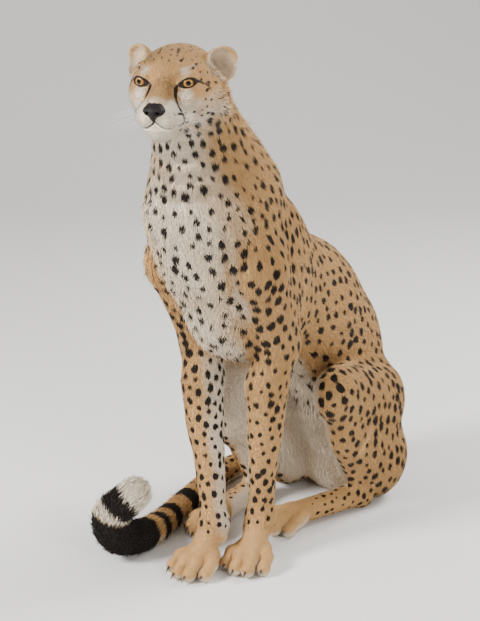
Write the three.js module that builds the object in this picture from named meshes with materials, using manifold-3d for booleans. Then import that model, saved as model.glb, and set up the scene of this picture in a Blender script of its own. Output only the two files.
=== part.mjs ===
// A sitting adult cheetah at life size, parted into the pieces that a person would name.
//
// Millimetres, +Z up, the floor at Z = 0. The animal faces -Y, and its left side is +X.
// The body is one smooth field of distances, built from eggs and tapered limbs that are blended
// into each other. Each piece is that field turned into a closed mesh at its own fineness, and
// then cut from its neighbours with a thin gap.
import * as THREE from 'three';
import { mergeVertices } from 'three/addons/utils/BufferGeometryUtils.js';
import Module from 'manifold-3d';

const wasm = await Module();
wasm.setup();

const GAP = 0.3; // between two pieces that touch
const FAR = 2000; // longer than the animal, for cutting blocks
const DEGREE = Math.PI / 180;

const COAT = 0xd9a55c;
const PALE = 0xf1e6cf;
const BLACK = 0x1c1714;
const AMBER = 0xb5752a;
const HORN = 0x3a332c;

// ---------------------------------------------------------------- places and turns

/** A place told the way a keeper would: forward, to the animal's left, and up. */
function at(forward, left, up) {
  return new THREE.Vector3(left, -forward, up);
}

/** A turn: nose up, then nose to the left, in degrees. */
function turned(up, left = 0) {
  const pitch = new THREE.Quaternion().setFromAxisAngle(new THREE.Vector3(1, 0, 0), -up * DEGREE);
  const yaw = new THREE.Quaternion().setFromAxisAngle(new THREE.Vector3(0, 0, 1), left * DEGREE);
  return yaw.multiply(pitch);
}

const STRAIGHT = turned(0);

/** A local frame, such as the head's own: place(f, l, u) gives the place in the body's frame. */
function frame(origin, turn) {
  return {
    turn,
    place: (forward, left, up) => at(forward, left, up).applyQuaternion(turn).add(origin),
    tilt: (up, left = 0) => turn.clone().multiply(turned(up, left)),
  };
}

// ---------------------------------------------------------------- fields of distance

/** An egg with its half lengths forward, left and up. */
function egg(centre, [forward, left, up], turn = STRAIGHT) {
  const back = new THREE.Matrix4().makeRotationFromQuaternion(turn.clone().invert());
  const m = new THREE.Matrix3().setFromMatrix4(back).elements;
  return (x, y, z) => {
    const dx = x - centre.x;
    const dy = y - centre.y;
    const dz = z - centre.z;
    const a = (m[0] * dx + m[3] * dy + m[6] * dz) / left;
    const b = (m[1] * dx + m[4] * dy + m[7] * dz) / forward;
    const c = (m[2] * dx + m[5] * dy + m[8] * dz) / up;
    const reach = Math.sqrt(a * a + b * b + c * c);
    const steep = Math.sqrt((a / left) ** 2 + (b / forward) ** 2 + (c / up) ** 2);
    return steep > 0 ? (reach * (reach - 1)) / steep : -Math.min(forward, left, up);
  };
}

/** A tapered limb between two places; flat below 1 narrows it from side to side. */
function limb(from, fromRadius, to, toRadius, flat = 1) {
  const axis = to.clone().sub(from);
  const length2 = axis.lengthSq();
  return (x, y, z) => {
    const dx = x - from.x;
    const dy = y - from.y;
    const dz = z - from.z;
    const along = Math.min(1, Math.max(0, (dx * axis.x + dy * axis.y + dz * axis.z) / length2));
    const ox = (dx - along * axis.x) / flat;
    const oy = dy - along * axis.y;
    const oz = dz - along * axis.z;
    return Math.sqrt(ox * ox + oy * oy + oz * oz) - fromRadius - along * (toRadius - fromRadius);
  };
}

/** Limbs end to end through a list of [place, radius]. */
function chain(stops, flat = 1) {
  const limbs = stops.slice(1).map(([to, r], i) => limb(stops[i][0], stops[i][1], to, r, flat));
  return (x, y, z) => Math.min(...limbs.map((f) => f(x, y, z)));
}

/** Fields melted into each other, with a fillet about as wide as soft. */
function blend(soft, ...fields) {
  return (x, y, z) => {
    let d = fields[0](x, y, z);
    for (let i = 1; i < fields.length; i += 1) {
      const e = fields[i](x, y, z);
      const near = Math.max(soft - Math.abs(d - e), 0);
      d = Math.min(d, e) - (near * near) / (4 * soft);
    }
    return d;
  };
}

/** Fields side by side, with a crease where they meet. */
function union(...fields) {
  return (x, y, z) => Math.min(...fields.map((f) => f(x, y, z)));
}

// ---------------------------------------------------------------- closed meshes from fields

/** A closed mesh as a manifold, from flat lists of positions and triangle corners. */
function solidOf(positions, corners) {
  const mesh = new wasm.Mesh({
    numProp: 3,
    vertProperties: Float32Array.from(positions),
    triVerts: Uint32Array.from(corners),
  });
  return new wasm.Manifold(mesh);
}

function solidOfGeometry(geometry, matrix = new THREE.Matrix4()) {
  const bare = geometry.clone().applyMatrix4(matrix);
  bare.deleteAttribute('normal');
  bare.deleteAttribute('uv');
  const merged = mergeVertices(bare, 1e-4);
  return solidOf(merged.getAttribute('position').array, merged.getIndex().array);
}

function slopeOf(field, x, y, z) {
  const step = 0.5;
  return [
    (field(x + step, y, z) - field(x - step, y, z)) / (2 * step),
    (field(x, y + step, z) - field(x, y - step, z)) / (2 * step),
    (field(x, y, z + step) - field(x, y, z - step)) / (2 * step),
  ];
}

/** Walks a point onto the surface, where the field is zero; tells how far it went. */
function settle(field, point) {
  const [x0, y0, z0] = point;
  for (let i = 0; i < 6; i += 1) {
    const slope = slopeOf(field, ...point);
    const steep = slope[0] ** 2 + slope[1] ** 2 + slope[2] ** 2;
    const miss = field(...point) / Math.max(steep, 0.05);
    for (let k = 0; k < 3; k += 1) point[k] -= miss * slope[k];
  }
  const moved = Math.hypot(point[0] - x0, point[1] - y0, point[2] - z0);
  return Number.isFinite(moved) ? moved : Infinity;
}

/** Fills grid corners until no four-sided face has only two opposite corners inside. */
function fillDiagonals(values, step) {
  const slightlyInside = -0.01;
  let filled = 0;
  for (let base = 0; base < values.length - step[1] - step[2]; base += 1) {
    for (let a = 0; a < 3; a += 1) {
      const b = (a + 1) % 3;
      const four = [base, base + step[a], base + step[a] + step[b], base + step[b]];
      const inside = four.map((n) => values[n] < 0);
      if (inside[0] === inside[1] || inside[0] !== inside[2] || inside[1] !== inside[3]) continue;
      const outside = four.filter((n) => values[n] >= 0);
      values[values[outside[0]] < values[outside[1]] ? outside[0] : outside[1]] = slightlyInside;
      filled += 1;
    }
  }
  if (filled > 0) fillDiagonals(values, step);
}

/**
 * The surface of a field inside a box, as a closed mesh. Each grid cell that the surface crosses
 * gets one corner point, which then walks onto the surface; the box's outermost cells stay empty,
 * so that a field which runs on is closed off there.
 */
function surface(field, low, high, cell) {
  const size = [0, 1, 2].map((k) => Math.ceil((high.getComponent(k) - low.getComponent(k)) / cell) + 3);
  const start = [low.x - cell, low.y - cell, low.z - cell];
  const step = [1, size[0], size[0] * size[1]];
  const values = new Float64Array(size[0] * size[1] * size[2]);
  const edge = (i, k) => i === 0 || i === size[k] - 1;
  for (let k = 0; k < size[2]; k += 1) {
    for (let j = 0; j < size[1]; j += 1) {
      for (let i = 0; i < size[0]; i += 1) {
        const outer = edge(i, 0) || edge(j, 1) || edge(k, 2);
        const d = field(start[0] + i * cell, start[1] + j * cell, start[2] + k * cell);
        values[i + j * step[1] + k * step[2]] = outer ? Math.max(d, cell / 2) : d;
      }
    }
  }
  fillDiagonals(values, step);
  const pointOf = new Int32Array(values.length).fill(-1);
  const positions = [];
  const corners = [];
  for (let k = 0; k < size[2] - 1; k += 1) {
    for (let j = 0; j < size[1] - 1; j += 1) {
      for (let i = 0; i < size[0] - 1; i += 1) {
        const base = i + j * step[1] + k * step[2];
        const sum = [0, 0, 0];
        let crossings = 0;
        for (let a = 0; a < 3; a += 1) {
          for (let corner = 0; corner < 8; corner += 1) {
            if ((corner >> a) & 1) continue;
            const offset = [corner & 1, (corner >> 1) & 1, (corner >> 2) & 1];
            const here = base + offset[0] * step[0] + offset[1] * step[1] + offset[2] * step[2];
            const from = values[here];
            const to = values[here + step[a]];
            if (from < 0 === to < 0) continue;
            offset[a] += from / (from - to);
            for (let n = 0; n < 3; n += 1) sum[n] += offset[n];
            crossings += 1;
          }
        }
        if (crossings === 0) continue;
        const cellAt = [i, j, k];
        const middle = [0, 1, 2].map((n) => start[n] + (cellAt[n] + sum[n] / crossings) * cell);
        const point = [...middle];
        const rim = [0, 1, 2].some((n) => cellAt[n] === 0 || cellAt[n] === size[n] - 2);
        const lost = rim || settle(field, point) > cell;
        pointOf[base] = positions.length / 3;
        positions.push(...(lost ? middle : point));
      }
    }
  }
  for (let k = 0; k < size[2] - 1; k += 1) {
    for (let j = 0; j < size[1] - 1; j += 1) {
      for (let i = 0; i < size[0] - 1; i += 1) {
        const nodeAt = [i, j, k];
        const base = i + j * step[1] + k * step[2];
        for (let a = 0; a < 3; a += 1) {
          const inside = values[base] < 0;
          const b = (a + 1) % 3;
          const c = (a + 2) % 3;
          if (inside === values[base + step[a]] < 0 || nodeAt[b] === 0 || nodeAt[c] === 0) continue;
          const ring = [0, step[b], step[b] + step[c], step[c]].map((n) => pointOf[base - n]);
          if (!inside) ring.reverse();
          corners.push(...splitQuad(positions, ring));
        }
      }
    }
  }
  return { positions, corners };
}

/** Two triangles for a four-sided face, split along its shorter diagonal. */
function splitQuad(positions, [a, b, c, d]) {
  const gap = (p, q) => [0, 1, 2].reduce((s, n) => s + (positions[3 * p + n] - positions[3 * q + n]) ** 2, 0);
  return gap(a, c) <= gap(b, d) ? [a, b, c, a, c, d] : [a, b, d, b, c, d];
}

/** The same mesh with each point moved out along the field's slope, for cutting a neighbour. */
function swollen({ positions, corners }, field, by) {
  const moved = positions.slice();
  for (let i = 0; i < moved.length; i += 3) {
    const slope = slopeOf(field, moved[i], moved[i + 1], moved[i + 2]);
    const steep = Math.hypot(...slope) || 1;
    for (let n = 0; n < 3; n += 1) moved[i + n] += (slope[n] / steep) * by;
  }
  return { positions: moved, corners };
}

/** The first place along a ray at which a field ends. */
function rayEnd(field, origin, direction) {
  const stride = 5;
  const farthest = 420;
  const value = (t) => field(...origin.clone().addScaledVector(direction, t).toArray());
  let outside = stride;
  while (outside < farthest && value(outside) < 0) outside += stride;
  let inside = outside - stride;
  for (let i = 0; i < 12; i += 1) {
    const middle = (inside + outside) / 2;
    if (value(middle) < 0) inside = middle;
    else outside = middle;
  }
  return origin.clone().addScaledVector(direction, inside);
}

/**
 * A closed sleeve round a curve: rays from the curve find where the field ends. Both ends are
 * rounded off by rings of rays that lean outwards.
 */
function sleeve(field, stops, rings, sides) {
  const curve = new THREE.CatmullRomCurve3(stops);
  const lean = [60, 30, 0];
  const stations = [
    ...lean.map((angle) => [0, -angle]),
    ...Array.from({ length: rings - 1 }, (_, i) => [(i + 1) / rings, 0]),
    ...lean.map((angle) => [1, angle]).reverse(),
  ];
  const positions = [];
  const ray = (share, tip, angle) => {
    const along = curve.getTangent(share);
    const across = new THREE.Vector3(1, 0, 0).addScaledVector(along, -along.x).normalize();
    const over = along.clone().cross(across);
    const out = across.multiplyScalar(Math.cos(angle)).addScaledVector(over, Math.sin(angle));
    const direction = out.multiplyScalar(Math.cos(tip)).addScaledVector(along, Math.sin(tip));
    positions.push(...rayEnd(field, curve.getPoint(share), direction).toArray());
  };
  for (const [share, tip] of stations) {
    for (let j = 0; j < sides; j += 1) ray(share, tip * DEGREE, (j / sides) * 2 * Math.PI);
  }
  ray(0, -Math.PI / 2, 0);
  ray(1, Math.PI / 2, 0);
  const corners = [];
  const first = stations.length * sides;
  for (let j = 0; j < sides; j += 1) {
    const next = (j + 1) % sides;
    for (let i = 0; i < stations.length - 1; i += 1) {
      const here = i * sides;
      corners.push(...splitQuad(positions, [here + j, here + next, here + sides + next, here + sides + j]));
    }
    const last = (stations.length - 1) * sides;
    corners.push(first, next, j, first + 1, last + j, last + next);
  }
  return { positions, corners };
}

// ---------------------------------------------------------------- cutting blocks

/** A block of given sizes forward, left and up; grow makes it larger all round. */
function block(centre, [forward, left, up], turn = STRAIGHT) {
  const matrix = new THREE.Matrix4().makeRotationFromQuaternion(turn).setPosition(centre);
  return (grow = 0) => {
    const box = new THREE.BoxGeometry(left + 2 * grow, forward + 2 * grow, up + 2 * grow);
    return solidOfGeometry(box, matrix);
  };
}

/** A block that fills all the room on one side of a face: the side that the turn's nose points to. */
function beyond(face, turn) {
  const nose = at(1, 0, 0).applyQuaternion(turn);
  return block(face.clone().addScaledVector(nose, FAR / 2), [FAR, FAR, FAR], turn);
}

const UP = turned(90);
const DOWN = turned(-90);

// ================================================================ the skeleton of the pose

const HEAD = frame(at(236, 8, 936), turned(-3, 16));
const EYE_RADIUS = 18;
const EYE_SPREAD = 38; // from the middle of the face to an eye's centre
const EYE_DEPTH = 3; // and how far it is ahead of the head's origin

const FORE_PAW = { toeLength: 112, spread: 25, palm: 26 };
const HIND_PAW = { toeLength: 92, spread: 22.5, palm: 26 };
const TOE_CREASE = 7; // how softly one toe melts into the next
const FOOT_LENGTH = 150; // from the hock to the hind paw

const SPINE = [at(52, 0, 712), at(-10, 0, 600), at(-125, 0, 490), at(-260, 0, 390), at(-360, 0, 265),
  at(-412, 0, 130)];
const NECK = [at(168, 0, 905), at(128, 0, 830), at(78, 0, 730), at(48, 0, 660)];

const FORELEGS = {
  left: {
    side: 1,
    blade: at(-58, 43, 646),
    shoulder: at(62, 84, 588),
    elbow: at(-14, 74, 425),
    forearm: at(4, 63, 350),
    wrist: at(2, 50, 88),
    heading: 10,
  },
  right: {
    side: -1,
    blade: at(-52, -48, 655),
    shoulder: at(88, -86, 592),
    elbow: at(14, -74, 425),
    forearm: at(34, -58, 350),
    wrist: at(73, -10, 88),
    heading: -3,
  },
};

const HINDLEGS = {
  left: {
    side: 1,
    hip: at(-388, 78, 205),
    knee: at(-184, 110, 290),
    hock: at(-312, 92, 58),
    heading: -20,
  },
  right: {
    side: -1,
    hip: at(-362, -78, 205),
    knee: at(-105, -120, 300),
    hock: at(-232, -108, 58),
    heading: 4,
  },
};

const TAIL = [
  [at(-420, -20, 62), 40],
  [at(-462, -92, 38), 31],
  [at(-420, -178, 29), 28],
  [at(-320, -214, 27), 27],
  [at(-200, -208, 26), 27],
  [at(-80, -188, 26), 27],
  [at(20, -168, 28), 29],
  [at(104, -160, 34), 34],
  [at(164, -168, 54), 38],
  [at(188, -166, 102), 38],
  [at(164, -132, 144), 34],
];

// ================================================================ the body's fields

function torso() {
  const ribs = egg(at(-32, 0, 554), [214, 106, 149], turned(50));
  const foreChest = egg(at(97, -7, 664), [106, 107, 150]);
  const brisket = egg(at(45, 0, 478), [80, 56, 62], turned(20));
  const withers = egg(at(-106, 0, 620), [122, 48, 48], turned(44));
  const loin = egg(at(-282, 0, 412), [212, 98, 132], turned(48));
  const croup = egg(at(-376, 0, 336), [92, 86, 96], turned(56));
  const pelvis = egg(at(-384, 0, 225), [140, 100, 122], turned(62));
  const rump = egg(at(-412, 0, 92), [88, 96, 108]);
  return blend(60, ribs, foreChest, brisket, withers, loin, croup, pelvis, rump);
}

function neck() {
  const throat = limb(at(158, -6, 862), 62, at(114, -10, 708), 104, 0.92);
  return blend(40, limb(at(138, 0, 868), 69, at(34, -2, 710), 110, 0.86), throat);
}

function head() {
  const { place, tilt, turn } = HEAD;
  const cranium = egg(place(-62, 0, 0), [76, 66, 53], turn);
  const forehead = egg(place(-24, 0, 15), [42, 46, 38], turn);
  const bridge = limb(place(0, 0, 4), 21, place(56, 0, -28), 16);
  const muzzle = egg(place(42, 0, -44), [34, 27, 28], turn);
  const noseTip = egg(place(71, 0, -34), [12, 17, 13], turn);
  const chin = egg(place(44, 0, -80), [23, 21, 17], turn);
  const throat = egg(place(-52, 0, -58), [56, 48, 36], turn);
  const sides = [1, -1].flatMap((s) => [
    limb(place(6, s * 22, 22), 10, place(-6, s * 52, 15), 9),
    egg(place(48, s * 19, -50), [27, 21, 21], turn),
    limb(place(34, s * 8, -74), 15, place(-38, s * 42, -58), 24),
    egg(place(-20, s * 48, -26), [44, 27, 42], tilt(0, s * -12)),
    egg(place(-60, s * 55, -34), [36, 31, 46], turn),
    egg(place(-58, s * 58, 30), [20, 17, 18], turn),
  ]);
  return blend(18, cranium, forehead, throat, bridge, muzzle, noseTip, chin, ...sides);
}

/** Shoulder and upper arm, with the top of the forearm. */
function shoulder({ side, blade, shoulder: joint, elbow, forearm, wrist }) {
  const scapula = limb(blade, 36, joint, 60, 0.7);
  const upperArm = limb(joint, 62, elbow, 50, 0.78);
  const point = egg(elbow.clone().add(at(-20, side * -4, 0)), [30, 24, 34]);
  const knit = limb(elbow, 48, forearm, 43, 0.84);
  const lower = limb(forearm, 43, wrist, 29, 0.88);
  return blend(30, scapula, upperArm, knit, point, lower);
}

/** Where a paw's four toes end, and how far each is from the middle line. */
function toePlaces({ toeLength, spread }) {
  return [-1.5, -0.5, 0.5, 1.5].map((n) => {
    const inner = Math.abs(n) < 1;
    return { inner, left: n * spread, reach: inner ? toeLength : toeLength - 18 };
  });
}

/** A paw's toes and pad in its own frame, whose origin is on the floor below the wrist. */
function pawFields({ place: spot, turn }, size) {
  const toes = toePlaces(size).map(({ inner, left, reach }) => {
    const knuckle = spot(reach - 36, left * 0.9, inner ? 33 : 29);
    const tip = spot(reach - 13, left, 14);
    return blend(5, limb(knuckle, 14, tip, 12.5), egg(tip, [14, 12.5, 14.5], turn));
  });
  const pad = egg(spot(size.palm, 0, 16), [28, 29, 18], turn);
  return { toes, pad };
}

/** The frame of a foot: on the floor below its wrist or hock, and turned its own way. */
function footFrame(joint, heading) {
  return frame(joint.clone().setZ(0), turned(0, heading));
}

function foreleg(leg) {
  const own = footFrame(leg.wrist, leg.heading);
  const wristHeight = leg.wrist.z;
  const bones = chain([[leg.elbow, 48], [leg.forearm, 43], [leg.wrist, 29]], 0.88);
  const carpus = egg(own.place(-2, 0, wristHeight - 4), [28, 30, 34], own.turn);
  const instep = limb(own.place(4, 0, wristHeight - 12), 28, own.place(46, 0, 30), 27);
  const { toes, pad } = pawFields(own, FORE_PAW);
  const dewclaw = egg(own.place(6, leg.side * -26, 58), [9, 8, 14], own.turn);
  return blend(9, blend(22, bones, carpus, instep, pad), blend(TOE_CREASE, ...toes), dewclaw);
}

function thigh({ side, hip, knee }) {
  const rear = hip.clone().add(at(4, side * 16, -112));
  const top = hip.clone().add(at(16, side * 12, 6));
  const haunch = limb(top, 98, knee, 60, 0.66);
  const seat = limb(rear, 92, hip.clone().lerp(knee, 0.55).add(at(0, side * 4, -86)), 60, 0.72);
  return blend(40, haunch, seat);
}

function hindleg(leg) {
  const own = footFrame(leg.hock, leg.heading);
  const calf = leg.knee.clone().lerp(leg.hock, 0.36).add(at(-16, leg.side * -4, 0));
  const belly = egg(calf, [46, 34, 66], turned(30));
  const shank = blend(24, limb(leg.knee, 50, leg.hock, 24, 0.88), belly);
  const heel = egg(own.place(-20, 0, 27), [27, 24, 29], own.turn);
  const foot = limb(own.place(0, 0, 31), 28, own.place(168, 0, 31), 26);
  const { toes, pad } = pawFields(frame(own.place(FOOT_LENGTH, 0, 0), own.turn), HIND_PAW);
  return blend(9, blend(22, shank, heel, foot, pad), blend(TOE_CREASE, ...toes));
}

const trunkField = torso();
const frontField = blend(42, trunkField, neck(), head());
const thighFields = new Map(Object.values(HINDLEGS).map((leg) => [leg, blend(34, trunkField, thigh(leg))]));
const body = union(
  ...Object.values(FORELEGS).map((leg) => blend(34, frontField, shoulder(leg))),
  ...thighFields.values(),
);

// ================================================================ cutting the body into pieces

const solids = {};
const solidFrom = ({ positions, corners }) => solidOf(positions, corners);
const roomFor = (mesh, field) => solidFrom(swollen(mesh, field, GAP));

/** Cuts a mesh at the floor, keeps what is in every keep, and takes out every drop. */
function cut(mesh, keep, drop = []) {
  let solid = solidFrom(mesh).trimByPlane([0, 0, 1], 0);
  for (const region of keep) solid = solid.intersect(region);
  for (const region of drop) solid = solid.subtract(region);
  return largest(solid);
}

function largest(solid) {
  return solid.decompose().reduce((best, next) => (next.volume() > best.volume() ? next : best));
}

/** The surface of a field in the box round some places. */
function meshAround(field, cell, margin, places) {
  const box = new THREE.Box3().setFromPoints(places).expandByScalar(margin);
  return surface(field, box.min, box.max, cell);
}

// ---------------------------------------------------------------- the legs

const HAUNCH_START = 50; // how far from the middle the hind legs' own pieces begin
const elbowCut = 352; // between upper arm and forearm
const wristCut = 60; // between forearm and paw
const PAW_CELL = 14.4; // how fine a paw's mesh is
const toeRows = {}; // each paw's frame, size and room, for its claws

for (const [name, leg] of Object.entries(FORELEGS)) {
  const field = foreleg(leg);
  const own = footFrame(leg.wrist, leg.heading);
  const top = leg.forearm.clone().lerp(leg.elbow, 0.4);
  const arm = sleeve(field, [top, leg.forearm, leg.wrist, own.place(6, 0, 40)], 6, 10);
  const paw = meshAround(field, PAW_CELL, 24, [own.place(-20, -42, -10), own.place(104, 42, 62)]);
  const elbow = beyond(at(0, 0, elbowCut), DOWN);
  const wrist = beyond(at(0, 0, wristCut), UP);
  solids[`forearm_${name}`] = cut(arm, [elbow(-GAP / 2), wrist(-GAP / 2)]);
  solids[`forepaw_${name}`] = cut(paw, [], [wrist(GAP / 2)]);
  toeRows[`forepaw_${name}`] = { own, size: FORE_PAW, room: roomFor(paw, field) };
}

const footRoom = {};
const kneeRoom = {};
for (const [name, leg] of Object.entries(HINDLEGS)) {
  const field = hindleg(leg);
  const own = footFrame(leg.hock, leg.heading);
  const folded = union(field, thighFields.get(leg));
  const shank = sleeve(folded, [leg.knee, leg.hock], 5, 11);
  const foot = sleeve(field, [own.place(-18, 0, 28), own.place(170, 0, 30)], 4, 10);
  const toes = meshAround(field, PAW_CELL, 26, [own.place(140, -36, -10), own.place(240, 36, 60)]);
  const ankle = beyond(own.place(0, 0, 52), turned(118, leg.heading));
  const ball = beyond(own.place(166, 0, 0), own.turn);
  const along = leg.hock.clone().sub(leg.knee);
  const slope = Math.atan2(-along.z, along.y) / DEGREE;
  const behindShank = leg.knee.clone().add(at(-46, 0, 31));
  const front = beyond(behindShank, turned(slope - 90));
  const inner = beyond(at(0, leg.side * HAUNCH_START, 0), turned(0, leg.side * 90));
  solids[`shank_${name}`] = cut(shank, [front(-GAP / 2), ankle(-GAP / 2), inner(0)]);
  solids[`metatarsus_${name}`] = cut(foot, [], [ankle(GAP / 2), ball(GAP / 2)]);
  solids[`hindpaw_${name}`] = cut(toes, [ball(-GAP / 2)]);
  const toeFrame = frame(own.place(FOOT_LENGTH, 0, 0), own.turn);
  toeRows[`hindpaw_${name}`] = { own: toeFrame, size: HIND_PAW, room: roomFor(toes, field) };
  footRoom[name] = block(own.place(60, 0, 20), [230, 60, 82], own.turn)(0);
  kneeRoom[name] = { front, shankRoom: roomFor(shank, folded).intersect(front(GAP)) };
}

/** One claw's horn, which points forward and bends down. */
function clawSolid(place) {
  const horn = new THREE.ConeGeometry(3.6, 20, 5, 1);
  const points = horn.getAttribute('position');
  for (let i = 0; i < points.count; i += 1) {
    const ahead = points.getY(i) + 10;
    points.setXYZ(i, -points.getX(i), -ahead, points.getZ(i) - 0.016 * ahead * ahead);
  }
  return solidOfGeometry(horn, new THREE.Matrix4().makeRotationFromQuaternion(place.turn)
    .setPosition(place.origin));
}

// The left forepaw's inner toe lies flat against the right one's side.
const TOE_FACE = 17; // how far to the left that face is
const TOE_FRONT = 112;
const leftSide = beyond(at(0, TOE_FACE, 0), turned(0, 90));
const besideLeft = block(at(TOE_FRONT - 100, TOE_FACE + 100, 50), [200, 200, 200]);
solids.forepaw_left = largest(solids.forepaw_left.intersect(leftSide(-GAP / 2)));
solids.forepaw_right = largest(solids.forepaw_right.subtract(besideLeft(GAP / 2)));

for (const [paw, { own, size, room: pawRoom }] of Object.entries(toeRows)) {
  toePlaces(size).forEach(({ left, reach }, i) => {
    const horn = clawSolid({ origin: own.place(reach - 9, left, 17), turn: own.turn });
    solids[`claw_${paw}_${i + 1}`] = largest(horn.subtract(pawRoom));
  });
}

// ---------------------------------------------------------------- head, neck and trunk

const headCut = beyond(HEAD.place(-78, 0, -52), HEAD.tilt(46));
const neckCut = beyond(at(60, 0, 742), turned(74));
const loinCut = beyond(at(-190, 0, 330), turned(228));

const HEAD_CELL = 13.4;
const { place } = HEAD;
const headMesh = meshAround(frontField, HEAD_CELL, 20, [place(-140, -80, -125), place(90, 80, 70),
  place(-140, 80, 70), place(90, -80, -125)]);
const headRoom = roomFor(headMesh, frontField);
const nosePad = block(place(86, 0, -33), [30, 30, 25], HEAD.turn);
let skull = cut(headMesh, [headCut(-GAP / 2)]);
solids.nose = largest(skull.intersect(nosePad(0)));
skull = skull.subtract(nosePad(GAP));
for (const [name, side] of [['left', 1], ['right', -1]]) {
  const centre = new THREE.Matrix4().setPosition(place(EYE_DEPTH, side * EYE_SPREAD, 0));
  const ball = (radius) => solidOfGeometry(new THREE.SphereGeometry(radius, 9, 6), centre);
  solids[`eye_${name}`] = ball(EYE_RADIUS);
  skull = skull.subtract(ball(EYE_RADIUS + 2 * GAP));
  solids[`ear_${name}`] = largest(earSolid(side).subtract(headRoom));
}
solids.head = largest(skull);
solids.neck = cut(sleeve(frontField, NECK, 5, 18), [neckCut(-GAP / 2)], [headCut(GAP / 2)]);

// The limbs' tops are cut out of one mesh of the whole body, and the trunk is a sleeve round the
// spine. Flat faces part them: each limb has the block that starts this far from the middle.
const SHOULDER_START = 44;
const SHOULDER_HEIGHT = 376; // of the shoulder's block, above the elbow's cut
const HAUNCH_TOP = 365;
const BLOCK_WIDTH = 400; // wider than the animal on either side
const BODY_CELL = 33;
const bodyMesh = meshAround(body, BODY_CELL, 10, [at(230, -200, -5), at(-570, 200, 790)]);
const trunkMesh = sleeve(body, SPINE, 13, 20);
const limbRooms = [];
const forearmRoom = block(at(150, 0, (elbowCut + GAP) / 2), [500, BLOCK_WIDTH, elbowCut + GAP])(0);
for (const [name, { side }] of Object.entries(FORELEGS)) {
  const middleOut = side * (BLOCK_WIDTH / 2 + SHOULDER_START);
  const centre = at(-10, middleOut, elbowCut + SHOULDER_HEIGHT / 2);
  const region = block(centre, [290, BLOCK_WIDTH, SHOULDER_HEIGHT]);
  solids[`upper_foreleg_${name}`] = cut(bodyMesh, [region(0)], [neckCut(GAP / 2), forearmRoom]);
  limbRooms.push(region(GAP));
}
for (const [name, { side, hip, knee }] of Object.entries(HINDLEGS)) {
  const { front, shankRoom } = kneeRoom[name];
  const middleOut = side * (BLOCK_WIDTH / 2 + HAUNCH_START);
  const centre = at(-(hip.y + knee.y) / 2, middleOut, HAUNCH_TOP / 2);
  const region = block(centre, [620, BLOCK_WIDTH, HAUNCH_TOP]);
  solids[`thigh_${name}`] = cut(bodyMesh, [region(0)], [front(GAP / 2), footRoom[name]]);
  limbRooms.push(region(GAP).subtract(front(-GAP / 2)), shankRoom);
}
solids.loin = cut(trunkMesh, [loinCut(-GAP / 2)], limbRooms);
solids.chest = cut(trunkMesh, [], [loinCut(GAP / 2), neckCut(GAP / 2), forearmRoom, ...limbRooms]);

/** A rounded ear: a shallow cup that faces forward and outward. */
function earSolid(side) {
  const outside = [[0, 0], [21, 6], [29, 21]];
  const inside = [[26, 21.5], [14, 9], [0, 6]];
  const profile = [...outside, ...inside].map(([r, depth]) => new THREE.Vector2(r, depth));
  const cup = new THREE.LatheGeometry(profile, 9);
  cup.scale(1.1, 1, 1.06);
  const facing = at(0.72, side * 0.62, 0.3).applyQuaternion(HEAD.turn).normalize();
  const sideways = new THREE.Vector3(0, 0, 1).cross(facing).normalize();
  const upward = facing.clone().cross(sideways);
  const matrix = new THREE.Matrix4().makeBasis(sideways.negate(), facing, upward);
  const base = place(-66, side * 74, 19);
  return solidOfGeometry(cup, matrix.setPosition(base));
}

// ---------------------------------------------------------------- the tail, in four lengths

const tailSteps = 60;
const tailCurve = new THREE.CatmullRomCurve3(TAIL.map(([stop]) => stop));
const tailStops = Array.from({ length: tailSteps + 1 }, (_, i) => {
  const share = i / tailSteps;
  const n = Math.min(TAIL.length - 2, Math.floor(share * (TAIL.length - 1)));
  const part = share * (TAIL.length - 1) - n;
  return [tailCurve.getPoint(share), THREE.MathUtils.lerp(TAIL[n][1], TAIL[n + 1][1], part)];
});
const tailCuts = [1, 16, 31, 45, 60];
tailCuts.slice(1).forEach((last, i) => {
  const first = tailCuts[i];
  const facing = (n) => {
    const ahead = tailStops[n + 1][0].clone().sub(tailStops[n - 1][0]).normalize();
    return beyond(tailStops[n][0], new THREE.Quaternion().setFromUnitVectors(at(1, 0, 0), ahead));
  };
  const reach = tailStops.slice(Math.max(0, first - 2), last + 3);
  const mesh = sleeve(chain(reach), reach.map(([stop]) => stop), 5, 10);
  const keep = [facing(first)(-GAP / 2)];
  const drop = last < tailSteps ? [facing(last)(GAP / 2)] : [];
  if (i === 0) drop.push(roomFor(bodyMesh, body), roomFor(trunkMesh, body));
  solids[`tail_${i + 1}`] = cut(mesh, keep, drop);
});

// ================================================================ the finished model

const model = new THREE.Group();

function colourOf(name) {
  if (name.startsWith('eye')) return [AMBER, 0.15];
  if (name === 'nose') return [BLACK, 0.5];
  if (name.startsWith('claw')) return [HORN, 0.4];
  if (name === 'tail_4') return [PALE, 0.9];
  return [COAT, 0.9];
}

for (const [name, solid] of Object.entries(solids)) {
  const { vertProperties, triVerts } = solid.getMesh();
  const geometry = new THREE.BufferGeometry();
  geometry.setAttribute('position', new THREE.BufferAttribute(Float32Array.from(vertProperties), 3));
  geometry.setIndex(new THREE.BufferAttribute(Uint32Array.from(triVerts), 1));
  const [color, roughness] = colourOf(name);
  const mesh = new THREE.Mesh(geometry, new THREE.MeshStandardMaterial({ color, roughness, metalness: 0 }));
  mesh.name = name;
  model.add(mesh);
}

// The model's origin is the middle of its box, on the floor.
const middle = new THREE.Box3().setFromObject(model).getCenter(new THREE.Vector3());
model.position.set(-middle.x, -middle.y, 0);

export default model;
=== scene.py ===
# %% [markdown]
# # A sitting cheetah
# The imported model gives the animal's outline to the tips of its coat, in named pieces with thin
# gaps. This script puts one skin inside them, grows a coat of solid tufts on it, and adds the
# eyes, lids, nose, whiskers and claws. Everything is in metres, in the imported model's own frame:
# +Z is up, the body faces -Y, and the animal's left side is +X.

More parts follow.
